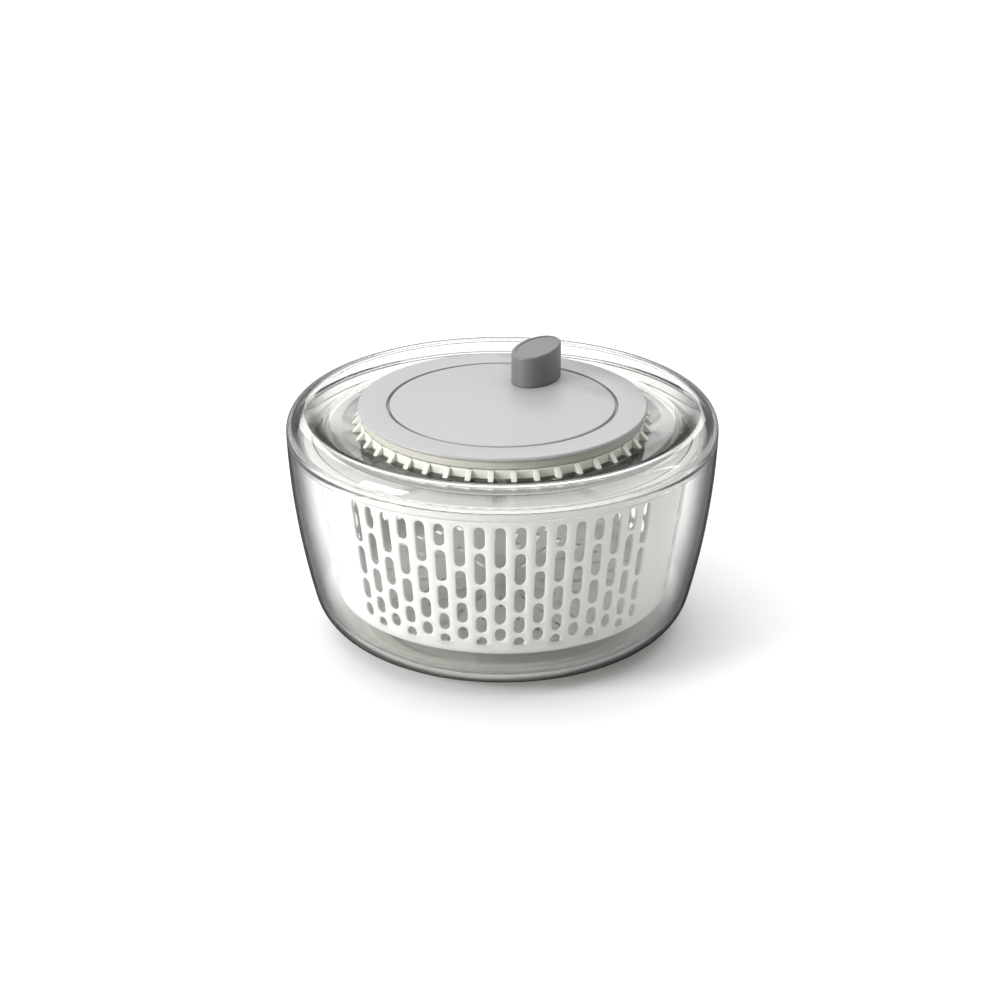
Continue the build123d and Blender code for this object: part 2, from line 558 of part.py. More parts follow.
# ================================================================ gears
for number in range(IDLERS):
    direction = 360 * number / IDLERS
    middle = (IDLER_CIRCLE * cos(radians(direction)), IDLER_CIRCLE * sin(radians(direction)))
    with BuildPart() as idler:
        with BuildSketch(Plane.XY.offset(GEAR_BOTTOM)):
            with BuildLine(Plane((*middle, 0))):
                Polyline(
                    gear_outline(
                        IDLER_TEETH,
                        IDLER_PITCH,
                        IDLER_PITCH + MODULE,
                        IDLER_PITCH - ROOT_DEPTH * MODULE,
                        PITCH_THICKNESS - BACKLASH,
                        direction,
                    ),
                    close=True,
                )
            make_face()
        extrude(amount=GEAR_THICKNESS)
        with BuildSketch(Plane.XY.offset(GEAR_TOP)):
            with Locations(middle):
                Circle(IDLER_PITCH - RIM_DEPTH * MODULE)
                Circle(IDLER_HUB_RADIUS, mode=Mode.SUBTRACT)
        extrude(amount=-GEAR_THICKNESS / 3, mode=Mode.SUBTRACT)
        with BuildSketch(Plane.XY.offset(GEAR_BOTTOM)):
            with Locations(middle):
                Circle(IDLER_PIN_RADIUS + RUNNING)
        extrude(amount=GEAR_THICKNESS, mode=Mode.SUBTRACT)
        with BuildSketch(Plane.XY.offset(WELL_FLOOR)):
            with Locations(middle):
                Circle(IDLER_HUB_RADIUS)
                Circle(IDLER_PIN_RADIUS + RUNNING, mode=Mode.SUBTRACT)
        extrude(amount=GEAR_FLOAT)
    write(idler.part, f"idler_gear_{number + 1}")

with BuildPart() as drive_gear:
    with BuildSketch(Plane.XY.offset(GEAR_BOTTOM)):
        with BuildLine():
            Polyline(
                gear_outline(
                    DRIVE_TEETH,
                    DRIVE_PITCH,
                    DRIVE_PITCH + MODULE,
                    DRIVE_PITCH - ROOT_DEPTH * MODULE,
                    PITCH_THICKNESS - BACKLASH,
                ),
                close=True,
            )
        make_face()
    extrude(amount=GEAR_THICKNESS)
    with BuildSketch(Plane.XY.offset(GEAR_BOTTOM)):
        Circle(SPINDLE_RADIUS)
    extrude(amount=-(GEAR_BOTTOM - PLATE_HUB_BOTTOM - PLATE_HUB_HEIGHT / 2))
    with BuildSketch(Plane.XY.offset(WELL_FLOOR)):
        Circle(BUSH_OUTER_RADIUS)
    extrude(amount=GEAR_FLOAT)
    with BuildSketch(Plane.XY.offset(GEAR_TOP)):
        Circle(JOURNAL_RADIUS)
    extrude(amount=WEB_TOP + 2 * CLIP_THICKNESS - GEAR_TOP)
    # a flat on each side of the spindle's foot keys it in the drive plate
    with BuildSketch(Plane.XY.offset(PLATE_HUB_BOTTOM + PLATE_HUB_HEIGHT / 2)):
        with PolarLocations(SPINDLE_RADIUS, 2):
            Rectangle(SPINDLE_RADIUS / 2, 2 * SPINDLE_RADIUS)
    extrude(amount=PLATE_HUB_HEIGHT / 2, mode=Mode.SUBTRACT)
    with BuildSketch(Plane.XY.offset(WEB_TOP)):
        Circle(JOURNAL_RADIUS)
        Circle(JOURNAL_RADIUS - CLIP_GROOVE, mode=Mode.SUBTRACT)
    extrude(amount=CLIP_THICKNESS, mode=Mode.SUBTRACT)
    with BuildSketch(Plane.XY.offset(PLATE_HUB_BOTTOM + PLATE_HUB_HEIGHT / 2)):
        Circle(DRIVE_SCREW_RADIUS)
    extrude(amount=DRIVE_SCREW_REACH, mode=Mode.SUBTRACT)
write(drive_gear.part, "drive_gear")

with BuildPart() as spindle_clip:
    with BuildSketch(Plane.XY.offset(WEB_TOP)):
        Circle(CLIP_RADIUS)
        Circle(JOURNAL_RADIUS - CLIP_GROOVE, mode=Mode.SUBTRACT)
        with Locations((CLIP_RADIUS, 0)):
            Rectangle(2 * CLIP_RADIUS, CLIP_MOUTH * (JOURNAL_RADIUS - CLIP_GROOVE), mode=Mode.SUBTRACT)
    extrude(amount=CLIP_THICKNESS)
write(spindle_clip.part, "spindle_clip")

# ================================================================ drive plate
with BuildPart() as drive_plate:
    with BuildSketch(Plane.XY.offset(PLATE_BOTTOM)):
        Circle(PLATE_RADIUS)
        with PolarLocations(PLATE_RADIUS, PLATE_TABS, start_angle=PANEL_TURN):
            Rectangle(2 * TAB_REACH, TAB_WIDTH)
    extrude(amount=PLATE_THICKNESS)
    with BuildSketch(Plane.XY.offset(PLATE_BOTTOM)):
        Circle(PLATE_RADIUS - PLATE_EDGE_GAP)
        Circle(PLATE_RADIUS - PLATE_EDGE_GAP - PLATE_THICKNESS, mode=Mode.SUBTRACT)
    extrude(amount=-PLATE_LIP)
    with BuildSketch(Plane.XY.offset(PLATE_HUB_BOTTOM)):
        Circle(PLATE_HUB_RADIUS)
    extrude(amount=PLATE_HUB_HEIGHT)
    with BuildSketch(Plane.XY.offset(PLATE_BOTTOM)):
        with PolarLocations(VENT_CIRCLE * PLATE_RADIUS, PLATE_VENTS, start_angle=PANEL_TURN):
            SlotOverall(VENT_LENGTH * PLATE_RADIUS, VENT_WIDTH)
    extrude(amount=PLATE_THICKNESS, mode=Mode.SUBTRACT)
    # the spindle's keyed foot, and the hole that its screw comes up through
    with BuildSketch(Plane.XY.offset(PLATE_HUB_BOTTOM + PLATE_HUB_HEIGHT / 2)):
        Circle(SPINDLE_RADIUS)
        with PolarLocations(SPINDLE_RADIUS, 2):
            Rectangle(SPINDLE_RADIUS / 2, 2 * SPINDLE_RADIUS, mode=Mode.SUBTRACT)
    extrude(amount=PLATE_HUB_HEIGHT / 2, mode=Mode.SUBTRACT)
    with BuildSketch(Plane.XY.offset(PLATE_HUB_BOTTOM)):
        Circle(DRIVE_SCREW_RADIUS)
    extrude(amount=PLATE_HUB_HEIGHT / 2, mode=Mode.SUBTRACT)
write(drive_plate.part, "drive_plate")

with BuildPart() as drive_washer:
    with BuildSketch(Plane.XY.offset(PLATE_HUB_BOTTOM - WASHER)):
        Circle(WASHER_RADIUS)
        Circle(DRIVE_SCREW_RADIUS, mode=Mode.SUBTRACT)
    extrude(amount=WASHER)
write(drive_washer.part, "drive_washer")

with BuildPart() as drive_screw:
    with BuildSketch(Plane.XY.offset(PLATE_HUB_BOTTOM - WASHER)):
        Circle(DRIVE_SCREW_RADIUS)
    extrude(amount=WASHER + PLATE_HUB_HEIGHT / 2 + DRIVE_SCREW_REACH)
    with BuildSketch(Plane.XY.offset(PLATE_HUB_BOTTOM - WASHER)):
        Circle(DRIVE_SCREW_HEAD_RADIUS)
    extrude(amount=-DRIVE_SCREW_HEAD)
    fillet(drive_screw.edges().group_by(Axis.Z)[0], DRIVE_SCREW_HEAD / 3)
    with BuildSketch(Plane.XY.offset(PLATE_HUB_BOTTOM - WASHER - DRIVE_SCREW_HEAD)):
        Rectangle(DRIVE_SCREW_HEAD_RADIUS, DRIVE_SCREW_HEAD / 2)
        Rectangle(DRIVE_SCREW_HEAD / 2, DRIVE_SCREW_HEAD_RADIUS)
    extrude(amount=DRIVE_SCREW_HEAD / 2, mode=Mode.SUBTRACT)
write(drive_screw.part, "drive_screw")

# ================================================================ crank disc with its ring gear and cap
SEAT_RADIUS = CAP_RADIUS + CAP_GROOVE

with BuildPart() as crank_disc:
    with BuildSketch(Plane.XY.offset(WEB_BOTTOM)):
        Circle(COLLAR_INNER - SLIDE_WALL - LOOSE)
    extrude(amount=DISC_TOP - WEB_BOTTOM)
    with BuildSketch(Plane.XY.offset(COLLAR_HEIGHT + SLIDE_CAP)):
        Circle(DISC_RADIUS)
    extrude(amount=DISC_TOP - COLLAR_HEIGHT - SLIDE_CAP)
    disc_edges = crank_disc.edges().filter_by(GeomType.CIRCLE).sort_by(SortBy.RADIUS)[-2:]
    chamfer(disc_edges.sort_by(Axis.Z)[0], DISC_EDGE_CHAMFER)
    fillet(crank_disc.edges().group_by(Axis.Z)[-1], DISC_EDGE_FILLET)
    with BuildSketch(Plane.XY.offset(WEB_TOP)):
        Circle(SEAT_RADIUS)
    extrude(amount=DISC_TOP - WEB_TOP, mode=Mode.SUBTRACT)
    seat_edge = crank_disc.edges().filter_by(GeomType.CIRCLE).group_by(Axis.Z)[-1].sort_by(SortBy.RADIUS)[0]
    fillet(seat_edge, CAP_GROOVE / 4)
    with BuildSketch(Plane.XY.offset(WEB_TOP)):
        with Locations((KNOB_X, KNOB_Y)):
            Circle(KNOB_BOSS_RADIUS)
    extrude(amount=DISC_TOP + KNOB_BOSS_LIFT - WEB_TOP)
    with BuildSketch(Plane.XY.offset(DISC_TOP + KNOB_BOSS_LIFT)):
        with Locations((KNOB_X, KNOB_Y)):
            Circle(KNOB_THREAD_RADIUS)
    extrude(amount=-KNOB_THREAD, mode=Mode.SUBTRACT)
    with BuildSketch(Plane.XY.offset(WEB_BOTTOM)):
        Circle(JOURNAL_RADIUS + RUNNING)
    extrude(amount=DISC_WEB, mode=Mode.SUBTRACT)
    with BuildSketch(Plane.XY.offset(WEB_BOTTOM)):
        with PolarLocations(RING_SCREW_CIRCLE, RING_SCREWS):
            Circle(SCREW_RADIUS)
    extrude(amount=SCREW_REACH, mode=Mode.SUBTRACT)
write(crank_disc.part, "crank_disc")

with BuildPart() as ring_gear:
    with BuildSketch(Plane.XY.offset(GEAR_BOTTOM)):
        Circle(RING_PITCH + ROOT_DEPTH * MODULE + RING_BODY)
    extrude(amount=WEB_BOTTOM - GEAR_BOTTOM)
    with BuildSketch(Plane.XY.offset(WEB_BOTTOM - RING_FLANGE)):
        Circle(RING_FLANGE_RADIUS)
    extrude(amount=RING_FLANGE)
    with BuildSketch(Plane.XY.offset(GEAR_BOTTOM)):
        with BuildLine():
            Polyline(
                gear_outline(
                    RING_TEETH,
                    RING_PITCH,
                    RING_PITCH + ROOT_DEPTH * MODULE,
                    RING_PITCH - RING_TIP * MODULE,
                    PITCH_THICKNESS + BACKLASH,
                ),
                close=True,
            )
        make_face()
    extrude(amount=WEB_BOTTOM - GEAR_BOTTOM, mode=Mode.SUBTRACT)
    with BuildSketch(Plane.XY.offset(WEB_BOTTOM - RING_FLANGE)):
        with PolarLocations(RING_SCREW_CIRCLE, RING_SCREWS):
            Circle(SCREW_RADIUS)
    extrude(amount=RING_FLANGE, mode=Mode.SUBTRACT)
write(ring_gear.part, "ring_gear")

with BuildPart() as ring_gear_screws:
    with BuildSketch(Plane.XY.offset(WEB_BOTTOM - RING_FLANGE)):
        with PolarLocations(RING_SCREW_CIRCLE, RING_SCREWS):
            Circle(SCREW_RADIUS)
    extrude(amount=RING_FLANGE + SCREW_REACH)
    with BuildSketch(Plane.XY.offset(WEB_BOTTOM - RING_FLANGE)):
        with PolarLocations(RING_SCREW_CIRCLE, RING_SCREWS):
            Circle(SCREW_HEAD_RADIUS)
    extrude(amount=-SCREW_HEAD)
write(ring_gear_screws.part, "ring_gear_screws")

with BuildPart() as disc_cap:
    with BuildSketch(Plane.XY.offset(DISC_TOP - CAP_THICKNESS)):
        Circle(CAP_RADIUS)
    extrude(amount=CAP_THICKNESS)
    fillet(disc_cap.edges().group_by(Axis.Z)[-1], CAP_GROOVE / 3)
    with BuildSketch(Plane.XY.offset(WEB_TOP)):
        Circle(CAP_RADIUS - CAP_THICKNESS)
        Circle(CAP_RADIUS - 2 * CAP_THICKNESS, mode=Mode.SUBTRACT)
    extrude(amount=CAP_STAND)
    with BuildSketch(Plane.XY.offset(DISC_TOP - CAP_THICKNESS)):
        Circle(CLIP_RADIUS + LOOSE)
    extrude(amount=CAP_THICKNESS / 2, mode=Mode.SUBTRACT)
    with BuildSketch(Plane.XY.offset(DISC_TOP - CAP_THICKNESS)):
        with Locations((KNOB_X, KNOB_Y)):
            Circle(KNOB_BOSS_RADIUS + LOOSE / 4)
    extrude(amount=CAP_THICKNESS, mode=Mode.SUBTRACT)
write(disc_cap.part, "disc_cap")


# ================================================================ knob
def knob_oval(inset):
    """The knob's oval outline in the open BuildSketch, moved in by the inset."""
    Ellipse(KNOB_LENGTH / 2 - inset, KNOB_WIDTH / 2 - inset)


with BuildPart() as knob_body:
    with BuildSketch(KNOB_PLANE.offset(KNOB_BOTTOM)):
        knob_oval(0)
    extrude(amount=KNOB_HIGH + KNOB_WALL)
    split(bisect_by=KNOB_TOP_PLANE, keep=Keep.BOTTOM)
    top_edge = knob_body.edges().group_by(Axis.Z)[-1]
    fillet(top_edge, KNOB_EDGE_FILLET)
    with BuildSketch(KNOB_PLANE.offset(KNOB_BOTTOM + KNOB_FLOOR)):
        knob_oval(KNOB_WALL)
    extrude(amount=KNOB_HIGH, mode=Mode.SUBTRACT)
    with BuildSketch(KNOB_PLANE.offset(KNOB_BOTTOM)):
        Circle(SHOULDER_RADIUS + RUNNING)
    extrude(amount=KNOB_FLOOR, mode=Mode.SUBTRACT)
write(knob_body.part, "knob_body")

with BuildPart() as knob_cap:
    with BuildSketch(KNOB_PLANE.offset(KNOB_BOTTOM + KNOB_FLOOR + KNOB_HEAD)):
        knob_oval(KNOB_WALL)
    extrude(amount=KNOB_HIGH)
    split(bisect_by=KNOB_TOP_PLANE.offset(-KNOB_CAP_SINK), keep=Keep.BOTTOM)
    split(bisect_by=KNOB_TOP_PLANE.offset(-KNOB_CAP_SINK - KNOB_CAP_THICKNESS), keep=Keep.TOP)
write(knob_cap.part, "knob_cap")

with BuildPart() as knob_washer:
    with BuildSketch(KNOB_PLANE.offset(DISC_TOP + KNOB_BOSS_LIFT)):
        Circle(KNOB_WASHER_RADIUS)
        Circle(SHOULDER_RADIUS + RUNNING, mode=Mode.SUBTRACT)
    extrude(amount=KNOB_LIFT - KNOB_BOSS_LIFT)
write(knob_washer.part, "knob_washer")

with BuildPart() as knob_screw:
    with BuildSketch(KNOB_PLANE.offset(DISC_TOP + KNOB_BOSS_LIFT)):
        Circle(SHOULDER_RADIUS)
    extrude(amount=KNOB_BOTTOM + KNOB_FLOOR + RUNNING - DISC_TOP - KNOB_BOSS_LIFT)
    with BuildSketch(KNOB_PLANE.offset(DISC_TOP + KNOB_BOSS_LIFT)):
        Circle(KNOB_THREAD_RADIUS)
    extrude(amount=-KNOB_THREAD)
    with BuildSketch(KNOB_PLANE.offset(KNOB_BOTTOM + KNOB_FLOOR + RUNNING)):
        Circle(KNOB_HEAD_RADIUS)
    extrude(amount=KNOB_HEAD)
    fillet(knob_screw.edges().group_by(Axis.Z)[-1], KNOB_HEAD / 4)
    with BuildSketch(KNOB_PLANE.offset(KNOB_BOTTOM + KNOB_FLOOR + RUNNING + KNOB_HEAD)):
        Rectangle(KNOB_HEAD_RADIUS, KNOB_HEAD / 2)
        Rectangle(KNOB_HEAD / 2, KNOB_HEAD_RADIUS)
    extrude(amount=-KNOB_HEAD / 2, mode=Mode.SUBTRACT)
write(knob_screw.part, "knob_screw")
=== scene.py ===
"""Salad spinner, dressed for its portrait.

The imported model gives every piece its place. This file gives the clear bowl, the slotted basket,
the drive plate, the clear lid and its rib ring smooth bodies of their own, dresses every piece in its
plastic, steel or rubber, and sets up the table, the soft lights and the camera.

Lengths are in metres, and a class's own angles are in degrees. The spin axis is Z.
"""

import json
import logging
import math
from dataclasses import dataclass, field
from enum import Enum
from typing import Sequence

import bmesh
import bpy
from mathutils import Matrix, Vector


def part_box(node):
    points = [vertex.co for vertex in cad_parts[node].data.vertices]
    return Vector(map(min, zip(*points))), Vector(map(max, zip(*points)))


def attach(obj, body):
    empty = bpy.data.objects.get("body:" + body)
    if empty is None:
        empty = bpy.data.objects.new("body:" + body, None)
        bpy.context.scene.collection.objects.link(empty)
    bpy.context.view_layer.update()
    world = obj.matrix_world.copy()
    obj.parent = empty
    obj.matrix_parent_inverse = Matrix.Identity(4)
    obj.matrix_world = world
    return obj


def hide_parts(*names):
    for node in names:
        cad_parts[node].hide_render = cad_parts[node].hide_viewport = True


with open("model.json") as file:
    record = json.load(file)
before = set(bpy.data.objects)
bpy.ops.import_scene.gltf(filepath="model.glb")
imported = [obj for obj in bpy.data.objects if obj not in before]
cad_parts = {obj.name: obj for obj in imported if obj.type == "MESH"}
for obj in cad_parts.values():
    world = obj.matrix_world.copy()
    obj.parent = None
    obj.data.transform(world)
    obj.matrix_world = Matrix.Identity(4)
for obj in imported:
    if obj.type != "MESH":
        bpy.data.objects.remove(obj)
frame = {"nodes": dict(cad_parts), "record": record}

LOG = logging.getLogger("salad_spinner")
MM = 0.001
FULL_TURN = 2 * math.pi
ON_AXIS = 1e-7                  # a point nearer to the axis than this is a pole
END_SPANS = 6                   # spans round each end of a cutter
WELD = 0.001 * MM               # points nearer than this are one point
COPY_WELD = 0.002 * MM          # the same, between copies and the piece that they join

Profile = list[tuple[float, float]]
Ring = list[Vector]


class Body(Enum):
    """The rigid bodies that the remade pieces move with."""

    BOWL = "bowl"
    BASKET = "basket"
    LID = "lid"
    DRIVE = "drive"


# ---------------------------------------------------------------------------- measuring the frame


def low(node: str) -> Vector:
    """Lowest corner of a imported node, in metres."""
    return Vector(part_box(node)[0])


def high(node: str) -> Vector:
    """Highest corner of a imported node, in metres."""
    return Vector(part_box(node)[1])


# ---------------------------------------------------------------------------- drawing outlines


def arc(centre: tuple[float, float], radius: float, start: float, end: float, steps: int) -> Profile:
    """Points along a round arc.

    Args:
        centre: centre of the arc, as (r, z).
        radius: radius of the arc.
        start: angle of the first point, in degrees.
        end: angle of the last point, in degrees.
        steps: number of spans.

    Returns:
        The points in order, both ends included.
    """
    turns = [math.radians(start + (end - start) * step / steps) for step in range(steps + 1)]
    return [(centre[0] + radius * math.cos(t), centre[1] + radius * math.sin(t)) for t in turns]


def round_corners(corners: Sequence[tuple[float, float, float]], steps: int = 4) -> Profile:
    """Outline through some corners, each rounded to its own radius.

    Args:
        corners: the corners of a closed outline, as (r, z, radius); a radius of 0 stays sharp.
        steps: number of spans in each rounding.

    Returns:
        The points of the closed outline.
    """
    outline: Profile = []
    for index, (r, z, radius) in enumerate(corners):
        here = Vector((r, z))
        if radius <= 0:
            outline.append((r, z))
            continue
        before = Vector(corners[index - 1][:2]) - here
        after = Vector(corners[(index + 1) % len(corners)][:2]) - here
        half = before.angle(after) / 2
        reach = radius / math.tan(half)
        middle = here + (before.normalized() + after.normalized()).normalized() * radius / math.sin(half)
        first = here + before.normalized() * reach - middle
        last = here + after.normalized() * reach - middle
        sweep = first.angle_signed(last)
        for step in range(steps + 1):
            turn = -sweep * step / steps
            spoke = Vector((
                first.x * math.cos(turn) - first.y * math.sin(turn),
                first.x * math.sin(turn) + first.y * math.cos(turn),
            ))
            outline.append(tuple(middle + spoke))
    return outline


def offset_path(path: Profile, distance: float) -> Profile:
    """An open path moved sideways, to its right as it is walked.

    Args:
        path: points of a smooth open path.
        distance: how far to move it.

    Returns:
        The moved points, in the same order.
    """
    moved: Profile = []
    for index, point in enumerate(path):
        ahead = Vector(path[min(index + 1, len(path) - 1)])
        behind = Vector(path[max(index - 1, 0)])
        along = (ahead - behind).normalized()
        moved.append((point[0] + along.y * distance, point[1] - along.x * distance))
    return moved


# ---------------------------------------------------------------------------- making meshes


def plain_object(name: str, bm: bmesh.types.BMesh) -> bpy.types.Object:
    """Turns an edited mesh into an object at the origin.

    Args:
        name: name of the new object.
        bm: the edited mesh, which is used up.

    Returns:
        The new object.
    """
    mesh = bpy.data.meshes.new(name)
    bm.to_mesh(mesh)
    bm.free()
    piece = bpy.data.objects.new(name, mesh)
    bpy.context.scene.collection.objects.link(piece)
    return piece


def mesh_object(name: str, bm: bmesh.types.BMesh, sharp_degrees: float = 40.0) -> bpy.types.Object:
    """Turns an edited mesh into an object that is smooth except at its sharp edges.

    Args:
        name: name of the new object.
        bm: the edited mesh, which is used up.
        sharp_degrees: edges that turn more than this stay sharp.

    Returns:
        The new object, at the origin.
    """
    bmesh.ops.recalc_face_normals(bm, faces=bm.faces)
    limit = math.radians(sharp_degrees)
    for face in bm.faces:
        face.smooth = True
    for edge in bm.edges:
        edge.smooth = len(edge.link_faces) == 2 and edge.calc_face_angle(0.0) < limit
    return plain_object(name, bm)


def skin_rings(bm: bmesh.types.BMesh, rings: Sequence[Ring], closed: bool) -> None:
    """Joins rings of points into a skin. A ring of one point is a pole.

    Args:
        bm: the mesh that gets the skin.
        rings: the rings in order; all but the poles have the same number of points.
        closed: whether the last ring joins the first one.
    """
    made = [[bm.verts.new(point) for point in ring] for ring in rings]
    pairs = list(zip(made, made[1:]))
    if closed:
        pairs.append((made[-1], made[0]))
    for near, far in pairs:
        count = max(len(near), len(far))
        if count == 1:
            continue
        for index in range(count):
            after = (index + 1) % count
            corners = [near[index % len(near)]]
            if len(near) > 1:
                corners.append(near[after])
            corners.append(far[after % len(far)])
            if len(far) > 1:
                corners.append(far[index])
            bm.faces.new(corners)


def lathe(name: str, outline: Profile, segments: int, closed: bool = True) -> bpy.types.Object:
    """Turns an outline about the spin axis.

    Args:
        name: name of the new object.
        outline: points of the section, as (r, z); a point on the axis becomes a pole.
        segments: number of faces round the axis.
        closed: whether the outline is a closed loop, and not one that ends in two poles.

    Returns:
        The turned object.
    """
    bm = bmesh.new()
    rings: list[Ring] = []
    for r, z in outline:
        if r < ON_AXIS:
            rings.append([Vector((0.0, 0.0, z))])
            continue
        turns = [FULL_TURN * index / segments for index in range(segments)]
        rings.append([Vector((r * math.cos(t), r * math.sin(t), z)) for t in turns])
    skin_rings(bm, rings, closed)
    return mesh_object(name, bm)


def join(name: str, parts: Sequence[bpy.types.Object]) -> bpy.types.Object:
    """Puts the meshes of several plain objects into one object.

    Args:
        name: name of the joined object.
        parts: the objects, all at the origin; they are removed.

    Returns:
        The joined object.
    """
    bm = bmesh.new()
    for part in parts:
        bm.from_mesh(part.data)
        bpy.data.objects.remove(part)
    return plain_object(name, bm)


def capped(name: str, rings: Sequence[Ring], first: Vector, last: Vector) -> bpy.types.Object:
    """A solid skinned over some rings and closed by a pole at each end.

    Args:
        name: name of the new object.
        rings: the rings in order.
        first: pole before the first ring.
        last: pole after the last ring.

    Returns:
        The solid.
    """
    bm = bmesh.new()
    skin_rings(bm, [[first], *rings, [last]], closed=False)
    return mesh_object(name, bm)


def slot_cutter(
    name: str, centre: float, length: float, width: float, span: tuple[float, float]
) -> bpy.types.Object:
    """The upright cutter of a slot with round ends, which points away from the axis on the +X side.

    Args:
        name: name of the new object.
        centre: distance from the axis to the slot's middle.
        length: full length of the slot.
        width: width of the slot.
        span: heights of the cutter's two ends.

    Returns:
        The cutter.
    """
    half = width / 2
    straight = length / 2 - half
    outline = []
    for side in (1, -1):
        for step in range(END_SPANS + 1):
            turn = math.pi * step / END_SPANS - math.pi / 2 + (0.0 if side == 1 else math.pi)
            outline.append((centre + side * straight + half * math.cos(turn), half * math.sin(turn)))
    rings = [[Vector((x, y, z)) for x, y in outline] for z in span]
    return capped(name, rings, *(Vector((centre, 0.0, z)) for z in span))


# ---------------------------------------------------------------------------- node trees


class Tree:
    """A Geometry Nodes tree with named inputs, and the modifier that runs it."""

    def __init__(self, name: str, inputs: dict[str, str]) -> None:
        """Starts a tree with one geometry input, the named inputs and one geometry output.

        Args:
            name: name of the tree.
            inputs: socket type of each named input.
        """
        self.tree = bpy.data.node_groups.new(name, "GeometryNodeTree")
        self.sockets: dict[str, str] = {}
        self.tree.interface.new_socket("Geometry", in_out="INPUT", socket_type="NodeSocketGeometry")
        for title, kind in inputs.items():
            made = self.tree.interface.new_socket(title, in_out="INPUT", socket_type=kind)
            self.sockets[title] = made.identifier
        self.tree.interface.new_socket("Geometry", in_out="OUTPUT", socket_type="NodeSocketGeometry")
        self.start = self.tree.nodes.new("NodeGroupInput")
        self.end = self.tree.nodes.new("NodeGroupOutput")

    def add(self, kind: str, **settings: object) -> bpy.types.Node:
        """Adds a node.

        Args:
            kind: Blender's name of the node.
            settings: properties of the node.

        Returns:
            The node.
        """
        node = self.tree.nodes.new(kind)
        for key, value in settings.items():
            setattr(node, key, value)
        return node

    def link(self, source: bpy.types.NodeSocket, target: bpy.types.NodeSocket) -> None:
        """Joins an output to an input."""
        self.tree.links.new(source, target)

    def math(self, operation: str, first: object, second: object) -> bpy.types.NodeSocket:
        """Adds a Math node on sockets or plain numbers.

        Args:
            operation: name of the operation.
            first: first socket or number.
            second: second socket or number.

        Returns:
            The result's socket.
        """
        node = self.add("ShaderNodeMath", operation=operation)
        for socket, value in zip(node.inputs, (first, second)):
            if isinstance(value, (int, float)):
                socket.default_value = value
            else:
                self.link(value, socket)
        return node.outputs[0]

    def bake(self, piece: bpy.types.Object, values: dict[str, object]) -> bpy.types.Object:
        """Runs the tree on an object and keeps the result as its plain mesh.

        Args:
            piece: the object that gets the result.
            values: value of each named input.

        Returns:
            The same object.
        """
        modifier = piece.modifiers.new(self.tree.name, "NODES")
        modifier.node_group = self.tree
        for title, value in values.items():
            modifier[self.sockets[title]] = value
        graph = bpy.context.evaluated_depsgraph_get()
        mesh = bpy.data.meshes.new_from_object(piece.evaluated_get(graph), depsgraph=graph)
        piece.modifiers.remove(modifier)
        old = piece.data
        piece.data = mesh
        bpy.data.meshes.remove(old)
        mesh.name = piece.name
        return piece


